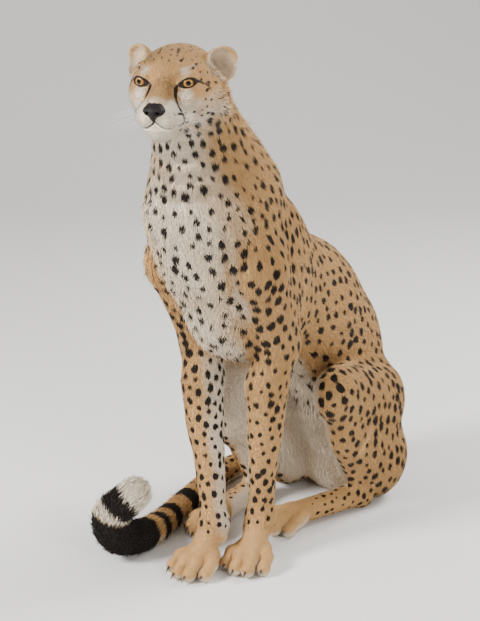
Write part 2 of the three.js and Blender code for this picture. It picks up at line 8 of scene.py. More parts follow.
import bpy
import numpy as np
from mathutils import Matrix, Vector


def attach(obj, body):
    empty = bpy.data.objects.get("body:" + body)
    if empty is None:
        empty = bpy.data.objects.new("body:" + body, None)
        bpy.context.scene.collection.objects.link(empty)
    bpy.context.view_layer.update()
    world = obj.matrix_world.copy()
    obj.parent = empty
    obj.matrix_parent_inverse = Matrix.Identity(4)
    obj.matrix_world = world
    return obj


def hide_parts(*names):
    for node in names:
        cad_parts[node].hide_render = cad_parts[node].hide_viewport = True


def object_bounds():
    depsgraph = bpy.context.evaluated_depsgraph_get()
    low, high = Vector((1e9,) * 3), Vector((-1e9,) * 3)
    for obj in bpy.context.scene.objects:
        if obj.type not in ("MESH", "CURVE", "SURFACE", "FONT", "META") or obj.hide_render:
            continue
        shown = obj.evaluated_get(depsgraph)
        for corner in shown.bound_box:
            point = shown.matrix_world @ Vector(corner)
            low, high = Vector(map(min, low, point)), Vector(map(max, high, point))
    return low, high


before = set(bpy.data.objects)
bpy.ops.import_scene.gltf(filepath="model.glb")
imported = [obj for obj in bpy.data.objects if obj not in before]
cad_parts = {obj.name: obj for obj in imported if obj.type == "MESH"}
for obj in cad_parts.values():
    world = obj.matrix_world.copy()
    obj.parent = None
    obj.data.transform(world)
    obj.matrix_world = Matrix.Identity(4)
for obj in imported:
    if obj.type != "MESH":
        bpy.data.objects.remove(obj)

cad_box = [list(corner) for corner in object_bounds()]
MM = 0.001
chance = np.random.default_rng(7)
print("nodes", len(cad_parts), "box", cad_box)

# %% [markdown]
# ## Places in the animal's own terms
# A keeper would say "forward, to its left, and up", so places are written that way, in
# millimetres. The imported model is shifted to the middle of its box. An eye's centre tells by how
# much, because its place in the head is known.

# %% Places and turns
def at(forward, left, up):
    return np.array([left, -forward, up]) * MM


def turned(up, left=0.0):
    """A turn: nose up, then nose to the left, in degrees."""
    pitch = Matrix.Rotation(np.radians(-up), 3, "X")
    yaw = Matrix.Rotation(np.radians(left), 3, "Z")
    return np.array(yaw @ pitch)


HEAD_TURN = turned(-3, 16)
EYE_IN_HEAD = (3, 38, 0)
head_start = at(236, 8, 936)
eye_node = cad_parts["eye_left"].data.vertices
eye_middle = np.mean([vertex.co for vertex in eye_node], axis=0)
SHIFT = eye_middle - (HEAD_TURN @ at(*EYE_IN_HEAD) + head_start)


def body(forward, left, up):
    """A place in the animal's own frame."""
    return at(forward, left, up) + SHIFT


class Spot:
    """A local frame, such as the head's or a foot's own."""

    def __init__(self, origin, turn):
        self.origin = origin
        self.turn = turn

    def place(self, forward, left, up):
        return self.turn @ at(forward, left, up) + self.origin

    def local(self, points):
        """Forward, left and up of some points in this frame, in millimetres."""
        own = (points - self.origin) @ self.turn / MM
        return -own[:, 1], own[:, 0], own[:, 2]

    def egg(self, centre, halves):
        return egg(self.place(*centre), halves, self.turn)

    def limb(self, start, start_radius, end, end_radius):
        return limb(self.place(*start), start_radius, self.place(*end), end_radius)


HEAD = Spot(head_start + SHIFT, HEAD_TURN)
BODY = Spot(SHIFT, np.eye(3))
SIDES = {"left": 1, "right": -1}
print("shift in mm", (SHIFT / MM).round(2))

# %% [markdown]
# ## Paint tools
# Every colour is a material with one Principled shader. Short tools make a paint, add a node to
# it and wire two nodes together.

# %% Paint tools
def set_inputs(node, values):
    for name, value in values.items():
        node.inputs[name].default_value = value


def shader_of(paint):
    return paint.node_tree.nodes["Principled BSDF"]


def new_paint(name, colour, looks):
    """A paint of one colour; looks are its shader's other inputs."""
    paint = bpy.data.materials.new(name)
    paint.use_nodes = True
    set_inputs(shader_of(paint), {"Base Color": (*colour, 1), **looks})
    return paint


def add_node(paint, kind, values, **settings):
    """A node of one kind, with values for its inputs."""
    node = paint.node_tree.nodes.new("ShaderNode" + kind)
    for name, value in settings.items():
        setattr(node, name, value)
    set_inputs(node, values)
    return node


def wire(source, output, target, entry):
    source.id_data.links.new(source.outputs[output], target.inputs[entry])


print("paint tools are ready")

# %% [markdown]
# ## Floor, light and camera
# The stage is plain, so that the coat's own colours show: a pale floor, a large soft light ahead
# and to the left, a weaker one on the right, and one behind for the outline. A long lens from a
# standing person's height keeps the proportions calm.

# %% Stage
SWEEP_START = 3.2  # metres behind the animal, where the floor begins to curve up
SWEEP_END = 6.2
SWEEP_RADIUS = 3


def sweep_height(back):
    """A floor that curves up into a wall behind the animal."""
    rise = np.clip((back - SWEEP_START) / SWEEP_RADIUS, 0, 1)
    curve = SWEEP_RADIUS - SWEEP_RADIUS * np.sqrt(np.maximum(1 - rise**2, 0))
    return np.where(back > SWEEP_END, SWEEP_RADIUS + (back - SWEEP_END) * 3, curve)


bpy.ops.mesh.primitive_grid_add(x_subdivisions=4, y_subdivisions=96, size=16, location=(0, 0, 0))
floor = bpy.context.object
floor.name = "floor"
VIEW_AZIMUTH = np.radians(32)  # the camera stands ahead and this far to the animal's left
behind = np.array([-np.sin(VIEW_AZIMUTH), np.cos(VIEW_AZIMUTH), 0])
beside = np.array([np.cos(VIEW_AZIMUTH), np.sin(VIEW_AZIMUTH), 0])
for vertex in floor.data.vertices:
    x, y, _ = vertex.co
    vertex.co = Vector(beside * x * 1.6 + behind * y) + Vector((0, 0, float(sweep_height(y))))
bpy.ops.object.shade_smooth()
floor.data.materials.append(new_paint("pale floor", (0.86, 0.85, 0.83), {"Roughness": 0.95}))


def aim(thing, target):
    thing.rotation_euler = (Vector(target) - thing.location).to_track_quat("-Z", "Y").to_euler()


VIEW_DISTANCE = 2.8
VIEW_HEIGHT = 1.25
LENS = 89.8  # mm
view_target = body(-15, -7, 480)
view_side = np.array([np.sin(VIEW_AZIMUTH), -np.cos(VIEW_AZIMUTH), 0])
view_place = view_target + VIEW_DISTANCE * view_side
bpy.ops.object.camera_add(location=(view_place[0], view_place[1], VIEW_HEIGHT))
camera = bpy.context.object
camera.data.lens = LENS
aim(camera, view_target)
bpy.context.scene.camera = camera

for name, place, size, power in [
    ("key", (-1.3, -2.9, 2.2), 1.0, 215),
    ("fill", (3.2, -1.8, 1.6), 1.1, 60),
    ("rim", (1.4, 2.2, 2.6), 1.4, 120),
]:
    bpy.ops.object.light_add(type="AREA", location=place)
    lamp = bpy.context.object
    lamp.name = name
    lamp.data.size = size
    lamp.data.energy = power
    aim(lamp, (0, 0, 0.5))

world = bpy.data.worlds.new("studio")
bpy.context.scene.world = world
world.use_nodes = True
set_inputs(world.node_tree.nodes["Background"], {"Color": (1.0, 0.99, 0.97, 1), "Strength": 0.55})
print("camera at", [round(v, 3) for v in camera.location])

# %% [markdown]
# ## Shapes as distances
# Flesh has no edges to extrude: it is rounded masses that melt into each other. So each mass is
# a rule that tells how far a point is from its surface, eggs for the bulk and tapered limbs for
# the legs, and a blend gives the fillet where two meet. The numbers are those of the packed
# model, so that the skin keeps its outline, with sharper blends and more muscles.

# %% Distance rules
def egg(centre, halves, turn=np.eye(3)):
    """An egg with its half lengths forward, left and up, in millimetres."""
    radii = np.array([halves[1], halves[0], halves[2]]) * MM

    def field(points):
        scaled = (points - centre) @ turn / radii
        reach = np.linalg.norm(scaled, axis=1)
        steep = np.linalg.norm(scaled / radii, axis=1)
        return reach * (reach - 1) / np.maximum(steep, 1e-6)

    return field


def limb(start, start_radius, end, end_radius, flat=1.0):
    """A tapered limb; flat below 1 narrows it from side to side."""
    axis = end - start

    def field(points):
        away = points - start
        share = np.clip(away @ axis / (axis @ axis), 0, 1)
        off = away - share[:, None] * axis
        off[:, 0] /= flat
        radius = start_radius + share * (end_radius - start_radius)
        return np.linalg.norm(off, axis=1) - radius * MM

    return field


def melted(soft, total, *others):
    """Distances melted into each other, with a fillet about as wide as soft."""
    for value in others:
        overlap = np.maximum(soft * MM - np.abs(total - value), 0)
        total = np.minimum(total, value) - overlap * overlap / (4 * soft * MM)
    return total


def blend(soft, *fields):
    return lambda points: melted(soft, *[field(points) for field in fields])


def near(centre, reach, field):
    """A field that is only worked out near its centre, which saves a lot of time."""

    def nearby(points):
        total = np.full(len(points), 0.3)
        close = ((points - centre) ** 2).sum(axis=1) < (reach * MM) ** 2
        total[close] = field(points[close])
        return total

    return nearby


def pressed(soft, field, *tools):
    """A field with others pressed into it, such as a hollow."""

    def hollowed(points):
        total = field(points)
        for tool in tools:
            value = -tool(points)
            overlap = np.maximum(soft * MM - np.abs(total - value), 0)
            total = np.maximum(total, value) + overlap * overlap / (4 * soft * MM)
        return total

    return hollowed


def union(*fields):
    return lambda points: np.min([field(points) for field in fields], axis=0)


CORNERS = np.array([[1, -1, -1], [-1, -1, 1], [-1, 1, -1], [1, 1, 1]], float)
STEEP_LEAST = 0.05  # a flatter field than this would throw points far away


def settle(points, field, level, rounds=4, step=0.0004, stride=0.008):
    """Walks points onto the surface where the field has the given level."""
    for _ in range(rounds):
        values = np.array([field(points + step * corner) for corner in CORNERS])
        steep = values.T @ CORNERS / (4 * step)
        miss = (values.mean(axis=0) - level) / np.maximum((steep**2).sum(axis=1), STEEP_LEAST)
        points = points - steep * np.clip(miss, -stride, stride)[:, None]
    return points


# %% [markdown]
# ## Trunk, neck and head
# The trunk is eight eggs along the spine. The head is built like the skull under it: brain case,
# brow, cheekbones and nose bridge, then the soft masses of the muzzle, lips, chin and cheeks.

# %% Trunk and neck
def torso():
    ribs = egg(body(-32, 0, 554), (214, 106, 149), turned(50))
    fore_chest = egg(body(97, -7, 664), (106, 107, 150))
    brisket = egg(body(45, 0, 478), (80, 56, 62), turned(20))
    withers = egg(body(-106, 0, 620), (122, 48, 48), turned(44))
    loin = egg(body(-282, 0, 412), (212, 98, 132), turned(48))
    croup = egg(body(-376, 0, 336), (92, 86, 96), turned(56))
    pelvis = egg(body(-384, 0, 225), (140, 100, 122), turned(62))
    rump = egg(body(-412, 0, 92), (88, 96, 108))
    return blend(56, ribs, fore_chest, brisket, withers, loin, croup, pelvis, rump)


def neck():
    throat = limb(body(158, -6, 862), 62, body(114, -10, 708), 104, 0.92)
    return blend(40, limb(body(138, 0, 868), 69, body(34, -2, 710), 110, 0.86), throat)


# %% Head
EARS = {side: Spot(HEAD.place(-66, s * 73, 19), HEAD_TURN @ turned(17, s * 41))
        for side, s in SIDES.items()}
EYES = {side: HEAD.place(EYE_IN_HEAD[0], s * EYE_IN_HEAD[1], 0) for side, s in SIDES.items()}


def ear(side):
    """A cup, open forward and outward, highest at its outer corner."""
    spot = EARS[side]
    s = SIDES[side]
    corner = spot.egg((-2, s * 12, 9), (18, 20, 21))
    shell = blend(6, spot.egg((-1, 0, -1), (22, 29, 31)), corner)
    return pressed(4, shell, spot.egg((9, s * 2, 2), (23, 24.5, 25)))


def head():
    cranium = HEAD.egg((-62, 0, 0), (76, 66, 53))
    forehead = HEAD.egg((-24, 0, 14), (42, 44, 37))
    bridge = HEAD.limb((0, 0, 6), 19, (58, 0, -27), 14)
    muzzle = HEAD.egg((40, 0, -44), (34, 26, 27))
    nose_tip = HEAD.egg((68, 0, -36), (12, 15, 12))
    chin = HEAD.egg((44, 0, -76), (24, 25, 17))
    throat = HEAD.egg((-52, 0, -58), (56, 48, 36))
    bulk = [cranium, forehead, throat]
    front = [bridge, muzzle, nose_tip]
    for s in SIDES.values():
        cheekbone = egg(HEAD.place(-20, s * 47, -26), (44, 26, 41), HEAD.turn @ turned(0, s * -12))
        jowl = HEAD.egg((-60, s * 55, -34), (36, 31, 46))
        jaw = HEAD.limb((34, s * 8, -75), 14, (-38, s * 42, -58), 24)
        below_eye = HEAD.limb((14, s * 50, -22), 9, (-36, s * 63, -12), 13)
        brow = HEAD.limb((5, s * 22, 19), 10, (-22, s * 50, 14), 12)
        nose_side = HEAD.limb((10, s * 19, -8), 11, (40, s * 19, -36), 13)
        behind_lip = HEAD.limb((17, s * 31, -24), 12, (24, s * 36, -52), 14)
        whisker_pad = HEAD.egg((51, s * 17, -50), (25, 19, 20))
        lip = HEAD.egg((34, s * 26, -52), (26, 17, 20))
        bulk += [cheekbone, jowl, jaw, below_eye, brow]
        front += [nose_side, behind_lip, whisker_pad, lip]
    eyeballs = [egg(eye, (20.5, 20.5, 20.5)) for eye in EYES.values()]
    whole = blend(14, blend(14, *bulk, chin), blend(11, *front))
    return blend(8, blend(7, whole, *eyeballs), *[ear(side) for side in EARS])


trunk_field = near(body(-170, 0, 400), 560, torso())
neck_field = near(body(95, 0, 790), 330, neck())
head_field = near(HEAD.place(-20, 0, -30), 210, head())
probe = np.array([HEAD.place(150, 0, 0), HEAD.place(0, 0, 0)])
print("distance at two probes", head_field(probe).round(3))

# %% [markdown]
# ## Legs and tail
# A leg is tapered limbs from joint to joint, with muscle bellies laid on them. A foot has four
# toes, each a knuckle and a tip, and one pad. The tail runs through a few places round the body.

# %% Joints of the pose
class Leg:
    """The joints of one leg, and the frame of its foot on the floor."""

    def __init__(self, side, heading, foot, **joints):
        self.side = SIDES[side]
        for joint, place in joints.items():
            setattr(self, joint, body(*place))
        start = getattr(self, foot).copy()
        start[2] = 0
        self.foot = Spot(start, turned(0, heading))


FORELEGS = {
    "left": Leg("left", 10, "wrist", blade=(-58, 43, 646), shoulder=(62, 84, 588),
                elbow=(-14, 74, 425), forearm=(4, 63, 350), wrist=(2, 50, 88)),
    "right": Leg("right", -3, "wrist", blade=(-52, -48, 655), shoulder=(88, -86, 592),
                 elbow=(14, -74, 425), forearm=(34, -58, 350), wrist=(73, -10, 88)),
}
HINDLEGS = {
    "left": Leg("left", -20, "hock", hip=(-388, 78, 205), knee=(-184, 110, 290),
                hock=(-312, 92, 58)),
    "right": Leg("right", 4, "hock", hip=(-362, -78, 205), knee=(-105, -120, 300),
                 hock=(-232, -108, 58)),
}
FORE_PAW = {"reach": 112, "spread": 25, "palm": 26}
HIND_PAW = {"reach": 92, "spread": 22.5, "palm": 26}
FOOT_LENGTH = 150
TAIL = [
    (-420, -20, 62, 40), (-462, -92, 38, 31), (-420, -178, 29, 28), (-320, -214, 27, 27),
    (-200, -208, 26, 27), (-80, -188, 26, 27), (20, -168, 28, 29), (104, -160, 34, 34),
    (164, -168, 54, 38), (188, -166, 102, 38), (164, -132, 144, 34),
]


# %% Feet
def toe_places(size):
    """For each toe: how far ahead and to the left it ends, and whether it is an inner one."""
    for n in (-1.5, -0.5, 0.5, 1.5):
        inner = abs(n) < 1
        yield size["reach"] - (0 if inner else 18), n * size["spread"], inner


def paw(spot, size):
    toes = []
    for reach, left, inner in toe_places(size):
        rear = spot.place(reach - 62, left * 0.62, 34)
        knuckle = spot.place(reach - 36, left * 0.92, 32 if inner else 28)
        tip = spot.place(reach - 14, left, 15)
        toe = blend(7, limb(rear, 12, knuckle, 13), limb(knuckle, 13.5, tip, 12))
        toes.append(blend(6, toe, egg(tip, (14, 12, 13.5), spot.turn)))
    reach = size["reach"]
    creases = [spot.limb((reach - 32, left * 0.9, 50), 1, (reach + 4, left, 14), 3.4)
               for left in (-size["spread"], 0, size["spread"])]
    return near(spot.place(70, 0, 20), 135, pressed(5, blend(5, *toes), *creases))


def fore_leg(leg):
    spot = leg.foot
    blade = limb(leg.blade, 34, leg.shoulder, 58, 0.7)
    upper_arm = limb(leg.shoulder, 60, leg.elbow, 46, 0.78)
    elbow_point = egg(leg.elbow + at(-20, leg.side * -4, 0), (28, 22, 33))
    behind_arm = leg.elbow * 0.55 + leg.shoulder * 0.45 + at(-34, leg.side * 6, 10)
    triceps = egg(behind_arm, (36, 24, 70), turned(-28))
    lower = limb(leg.elbow, 45, leg.forearm, 41, 0.86)
    shaft = limb(leg.forearm, 41, leg.wrist, 26, 0.88)
    belly = egg(leg.forearm * 0.8 + leg.wrist * 0.2 + at(4, leg.side * 7, 0), (30, 26, 80))
    carpus = spot.egg((-1, 0, 84), (27, 28, 33))
    instep = spot.limb((4, 0, 76), 26, (46, 0, 31), 25)
    pad = spot.egg((FORE_PAW["palm"], 0, 16), (28, 28, 18))
    dewclaw = spot.egg((6, leg.side * -26, 58), (9, 7, 13))
    muscle = blend(24, blade, upper_arm, elbow_point, triceps, lower, shaft, belly)
    foot = blend(18, carpus, instep, pad)
    return blend(12, blend(16, muscle, foot), paw(spot, FORE_PAW), dewclaw)


def thigh(leg):
    rear = leg.hip + at(4, leg.side * 16, -112)
    top = leg.hip + at(16, leg.side * 12, 6)
    haunch = limb(top, 96, leg.knee, 58, 0.66)
    seat = limb(rear, 90, leg.hip * 0.45 + leg.knee * 0.55 + at(0, leg.side * 4, -86), 58, 0.72)
    return blend(36, haunch, seat)


def hind_leg(leg):
    spot = leg.foot
    calf = leg.knee * 0.64 + leg.hock * 0.36 + at(-16, leg.side * -4, 0)
    belly = egg(calf, (44, 32, 64), turned(30))
    shank = blend(22, limb(leg.knee, 48, leg.hock, 23, 0.88), belly)
    kneecap = egg(leg.knee + at(22, 0, 8), (26, 27, 34), turned(30))
    heel = spot.egg((-20, 0, 27), (26, 21, 28))
    foot = spot.limb((0, 0, 30), 26, (168, 0, 30), 24)
    toes = Spot(spot.place(FOOT_LENGTH, 0, 0), spot.turn)
    pad = toes.egg((HIND_PAW["palm"], 0, 16), (28, 27, 18))
    return blend(12, blend(20, shank, kneecap, heel, foot, pad), paw(toes, HIND_PAW))


# %% Tail
def smooth_line(stops, per_span):
    """A smooth line through stops, each a list of numbers."""
    stops = np.array(stops, float)
    ends = np.vstack([2 * stops[0] - stops[1], stops, 2 * stops[-1] - stops[-2]])
    points = []
    for i in range(1, len(ends) - 2):
        a, b, c, d = ends[i - 1 : i + 3]
        for t in np.arange(per_span) / per_span:
            points.append(0.5 * (2 * b + (c - a) * t + (2 * a - 5 * b + 4 * c - d) * t**2
                                 + (3 * b - a - 3 * c + d) * t**3))
    return np.array(points + [stops[-1]])


tail_line = smooth_line(TAIL, 4)
tail_places = np.array([body(*stop[:3]) for stop in tail_line])
tail_radii = tail_line[:, 3]
tail_limbs = [limb(*ends) for ends in zip(tail_places, tail_radii, tail_places[1:], tail_radii[1:])]
tail_field = union(*[near(place, 95, part) for place, part in zip(tail_places, tail_limbs)])
SHOULDER_FILLET = 20
HIND_FILLET = 26
fore_fields = [near(leg.elbow + at(30, 0, -60), 470, fore_leg(leg)) for leg in FORELEGS.values()]
thighs = [near(leg.hip + at(70, 0, 0), 340, thigh(leg)) for leg in HINDLEGS.values()]
shanks = [near(leg.hock + at(70, 0, 90), 330, hind_leg(leg)) for leg in HINDLEGS.values()]


def skin_field(points):
    """The whole animal's distance rule, except for the ears."""
    trunk = trunk_field(points)
    front = melted(36, trunk, neck_field(points), head_field(points))
    masses = [melted(SHOULDER_FILLET, front, fore_field(points)) for fore_field in fore_fields]
    for thigh_field, low_field in zip(thighs, shanks):
        masses.append(melted(8, melted(HIND_FILLET, trunk, thigh_field(points)), low_field(points)))
    masses.append(melted(14, trunk, tail_field(points)))
    return np.maximum(np.min(masses, axis=0), -points[:, 2])


print("tail steps", len(tail_places))

# %% [markdown]
# ## The skin
# One closed skin comes from the distance rules, like a net pulled tight over the animal: space is
# cut into small cells, each cell that the surface crosses gets one point, and neighbours are
# joined by faces. The net lies a little inside the outline, so that tail and foot stay apart.

# %% A net over a distance rule
BLOCK = 4  # cells along a block, and a block far from the surface is only asked once


def net(field, low, high, cell):
    """Points and four-sided faces of the surface where the field is zero."""
    blocks = np.ceil((high - low) / cell / BLOCK).astype(int) + 1
    middles = low + (np.argwhere(np.ones(blocks)) * BLOCK + 1.5) * cell
    values = field(middles).reshape(blocks)
    for axis in range(3):
        values = np.repeat(values, BLOCK, axis=axis)
    close = np.abs(values) < 7 * cell
    values[close] = field(low + np.argwhere(close) * cell)
    for axis in range(3):  # cells that the surface would cross twice are pushed to one side
        u, v = (axis + 1) % 3, (axis + 2) % 3
        beside = [np.roll(values, turn, (u, v)) < 0 for turn in ((0, 0), (-1, 0), (0, -1), (-1, -1))]
        twisted = (beside[0] == beside[3]) & (beside[1] == beside[2]) & (beside[0] != beside[1])
        values[twisted & (values > 0)] = -0.05 * cell
        values[np.roll(twisted & (values < 0), 1, u) & (values > 0)] = -0.05 * cell
    steps = np.eye(3, dtype=int)
    places = []
    rings = []
    for axis in range(3):
        u, v = steps[(axis + 1) % 3], steps[(axis + 2) % 3]
        edges = np.argwhere((values < 0) != (np.roll(values, -1, axis) < 0))
        start = values[tuple(edges.T)]
        end = values[tuple((edges + steps[axis]).T)]
        crossing = edges + (start / (start - end))[:, None] * steps[axis]
        ring = [np.ravel_multi_index((edges - around).T, values.shape) for around in (0 * u, u, u + v, v)]
        ring = np.stack(ring, axis=1)
        ring[start > 0] = ring[start > 0, ::-1]
        places.append(np.repeat(crossing, 4, axis=0))
        rings.append(ring)
    places = np.concatenate(places)
    names, faces = np.unique(np.concatenate(rings), return_inverse=True)
    faces = faces.ravel()
    count = np.bincount(faces)
    points = [np.bincount(faces, places[:, axis]) / count for axis in range(3)]
    return low + np.stack(points, axis=1) * cell, faces.reshape(-1, 4)


def read(items, name, width=3, kind=float):
    """Numbers of a mesh's points, edges or faces, a row for each."""
    flat = np.empty(len(items) * width, np.float32 if kind is float else np.int32)
    items.foreach_get(name, flat)
    return flat.reshape(-1, width).astype(kind)


def new_object(name, points, faces):
    mesh = bpy.data.meshes.new(name)
    mesh.vertices.add(len(points))
    mesh.vertices.foreach_set("co", points.astype(np.float32).ravel())
    mesh.loops.add(faces.size)
    mesh.loops.foreach_set("vertex_index", faces.astype(np.int32).ravel())
    mesh.polygons.add(len(faces))
    mesh.polygons.foreach_set("loop_start", np.arange(len(faces), dtype=np.int32) * faces.shape[1])
    mesh.polygons.foreach_set("use_smooth", np.ones(len(faces), bool))
    mesh.update(calc_edges=True)
    made = bpy.data.objects.new(name, mesh)
    bpy.context.collection.objects.link(made)
    return made


# %% The skin's net
CELL = 0.0062
NET_DEPTH = 0.0035  # inside the outline, so that parts that only touch stay apart
FLESH = [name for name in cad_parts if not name.startswith(("claw", "eye", "nose"))]
ear_rule = union(*[near(spot.origin, 64, ear(side)) for side, spot in EARS.items()])


def net_rule(points):
    return np.minimum(skin_field(points) + NET_DEPTH, ear_rule(points) - 0.001)


low, high = [np.array(corner) for corner in cad_box]
net_points, net_faces = net(net_rule, low - 2 * CELL, high + 2 * CELL, CELL)
skin = new_object("skin", net_points, net_faces)
print("one net of", len(net_faces), "faces")


# %% Finer faces where the forms are small
def deselect():
    bpy.ops.object.select_all(action="DESELECT")


def put_points(mesh, points):
    mesh.vertices.foreach_set("co", points.astype(np.float32).ravel())
    mesh.update()


def subdivide_where(obj, chosen):
    mesh = obj.data
    mesh.vertices.foreach_set("select", np.zeros(len(mesh.vertices), bool))
    mesh.edges.foreach_set("select", np.zeros(len(mesh.edges), bool))
    mesh.polygons.foreach_set("select", chosen)
    deselect()
    obj.select_set(True)
    bpy.context.view_layer.objects.active = obj
    bpy.context.tool_settings.mesh_select_mode = (False, False, True)
    bpy.ops.object.mode_set(mode="EDIT")
    bpy.ops.mesh.subdivide(number_cuts=1, quadcorner="INNERVERT")
    bpy.ops.object.mode_set(mode="OBJECT")


def in_head(points):
    forward, left, up = HEAD.local(points)
    return (forward > -105) & (np.abs(left) < 106) & (up > -108) & (up < 75)


def in_face(points):
    forward, left, up = HEAD.local(points)
    face = (forward > -8) & (np.abs(left) < 64) & (up > -84) & (up < 30)
    return face | ((forward > -100) & (np.abs(left) > 66) & (up > -8))


def in_feet(points):
    chosen = np.zeros(len(points), bool)
    for legs, ahead in [(FORELEGS, 60), (HINDLEGS, 190)]:
        for leg in legs.values():
            forward, left, up = leg.foot.local(points)
            chosen |= (forward > ahead - 55) & (forward < ahead + 75) & (np.abs(left) < 60) & (up < 62)
    return chosen


middles = read(skin.data.polygons, "center")
subdivide_where(skin, in_head(middles) | in_feet(middles))
subdivide_where(skin, in_face(read(skin.data.polygons, "center")))
print("with finer head and feet", len(skin.data.polygons), "faces")


# %% Smoothing tools
def averaged(values, edges):
    """The mean of each point's neighbours."""
    count = np.bincount(edges.ravel(), minlength=len(values)).astype(float)
    total = np.empty_like(values)
    for k in range(values.shape[1]):
        total[:, k] = np.bincount(edges[:, 0], values[edges[:, 1], k], len(values))
        total[:, k] += np.bincount(edges[:, 1], values[edges[:, 0], k], len(values))
    return total / np.maximum(count, 1)[:, None]


def unit(vectors):
    return vectors / np.maximum(np.linalg.norm(vectors, axis=1), 1e-9)[:, None]


def flattened(vectors, axes):
    """The part of each vector that is square to its axis."""
    return vectors - axes * (vectors * axes).sum(axis=1)[:, None]


def relaxed(points, edges, rounds, amount=0.5):
    for _ in range(rounds):
        points = points + amount * (averaged(points, edges) - points)
    return points


skin_edges = read(skin.data.edges, "vertices", 2, int)
skin_points = relaxed(read(skin.data.vertices, "co"), skin_edges, 4)

# %% [markdown]
# ## Bones that rule the coat
# Fur differs from place to place: how long it is, which way it lies, how pale it is underneath and
# how its spots are spaced. Each region gets a bone with those facts, and every point of the skin
# takes a weighted mix from the bones near it.

# %% Bones
TAWNY_ALL = (at(1, 0, 0), 3.0)  # a pale side that no normal reaches


class Bone:
    """One region: its line and radius, which way fur lies, and the coat's facts."""

    def __init__(self, coat, start, end, radius, fur, spots, pale=TAWNY_ALL, lie=None):
        self.coat = coat
        self.start = start
        self.end = end
        self.radius = radius * MM
        axis = lie if lie is not None else end - start
        self.lie = axis / np.linalg.norm(axis)
        direction, threshold = pale
        self.pale = direction / np.linalg.norm(direction)
        self.facts = [fur, spots[0], spots[1], threshold]

    def nearness(self, points):
        axis = self.end - self.start
        share = np.clip((points - self.start) @ axis / (axis @ axis), 0, 1)
        off = points - self.start - share[:, None] * axis
        return np.linalg.norm(off, axis=1) / self.radius


FORWARD = at(1, 0, 0)
BELOW = at(0.75, 0, -0.66)
DOWN = at(0, 0, -1)
NO_SPOTS = (30, 0)
skull = HEAD.place
BONES = [
    Bone("head", skull(70, 0, -42), skull(30, 0, -26), 26, 2.6, NO_SPOTS, (FORWARD, -2)),
    Bone("head", skull(52, 0, -80), skull(-10, 0, -72), 24, 4, NO_SPOTS, (FORWARD, -2)),
    Bone("head", skull(26, 0, 0), skull(-110, 0, 4), 50, 4.6, (11.5, 3)),
    *[Bone("head", spot.place(-8, 0, 6), spot.place(6, 0, 10), 23, 2.8, NO_SPOTS) for spot in EARS.values()],
    Bone("neck", body(112, 0, 900), body(-20, 0, 765), 56, 11, (19, 6)),
    Bone("neck", body(175, 0, 850), body(120, 0, 720), 80, 8, (19, 6.5), (BELOW, 0.5)),
    Bone("chest", body(130, 0, 700), body(92, 0, 540), 94, 10.5, (24, 7), (FORWARD, 0.52)),
    Bone("chest", body(80, 0, 520), body(0, 0, 450), 62, 16, (28, 6.5), (DOWN, -0.2), at(-0.4, 0, -1)),
    Bone("chest", body(0, 0, 650), body(-150, 0, 470), 108, 7, (24, 8.2), (BELOW, 0.5)),
    Bone("chest", body(-60, 0, 715), body(-190, 0, 560), 52, 8, (22, 7.5)),
    Bone("loin", body(-190, 0, 450), body(-330, 0, 310), 104, 7, (24, 8.2), (BELOW, 0.45)),
    Bone("loin", body(-150, 0, 390), body(-300, 0, 190), 74, 13, (30, 6), (FORWARD, -0.1)),
    Bone("loin", body(-350, 0, 260), body(-425, 0, 60), 98, 7, (23, 8), (FORWARD, 0.4)),
]
for s in SIDES.values():
    BONES.append(Bone("head", skull(30, s * 36, -34), skull(-20, s * 50, -36), 30, 4.6, (12.5, 2.8),
                      (HEAD.turn @ at(0.4, 0, -1), 0.1)))
    BONES.append(Bone("head", skull(-44, s * 54, -36), skull(-74, s * 50, -60), 32, 10, (14, 3.6),
                      (HEAD.turn @ at(0.4, 0, -1), 0.1)))
for side, leg in FORELEGS.items():
    s = leg.side
    inward = at(-0.3, -s, 0)
    coat = "foreleg_" + side
    toes = leg.foot.place(100, 0, 18)
    BONES += [
        Bone(coat, leg.blade, leg.shoulder, 54, 6, (23, 7.8), (inward, 0.9)),
        Bone(coat, leg.shoulder, leg.elbow, 56, 6.5, (22, 8), (inward, 0.75)),
        Bone(coat, leg.elbow, leg.forearm, 46, 7, (20, 7.2), (inward, 0.6)),
        Bone(coat, leg.elbow + at(-44, 0, 34), leg.elbow + at(-36, 0, -50), 20, 14, (20, 6.5)),
        Bone(coat, leg.forearm, leg.wrist, 36, 4.5, (18, 6), (inward, 0.55)),
        Bone(coat, leg.foot.place(0, 0, 62), toes, 30, 3, NO_SPOTS, (DOWN, 0.1), toes - leg.wrist),
    ]
for side, leg in HINDLEGS.items():
    s = leg.side
    inward = at(0.3, -s, 0)
    coat = "hindleg_" + side
    toes = leg.foot.place(230, 0, 18)
    low_hip = leg.hip + at(0, s * 10, -110)
    BONES += [
        Bone(coat, leg.hip, leg.knee, 76, 6.5, (23, 8.2), (inward, 0.6), at(-0.35, 0, -1)),
        Bone(coat, low_hip, leg.knee * 0.4 + low_hip * 0.6, 76, 7, (22, 8), (inward, 0.6), at(-0.2, 0, -1)),
        Bone(coat, leg.knee, leg.hock, 42, 5.5, (20, 6.8), (inward, 0.5)),
        Bone(coat, leg.foot.place(-10, 0, 30), leg.foot.place(130, 0, 30), 28, 4, (15, 4.5), (inward, 0.4)),
        Bone(coat, leg.foot.place(150, 0, 30), toes, 28, 3, NO_SPOTS, (DOWN, 0.1)),
    ]
for i in range(0, len(tail_places) - 4, 4):
    share = i / (len(tail_places) - 5)
    BONES.append(Bone("tail", tail_places[i], tail_places[i + 4], tail_radii[i + 2],
                      8 + 8 * share**2, (19, 6.2), (DOWN, 0.35)))
coats = [bone.coat for bone in BONES]
print(len(BONES), "bones")


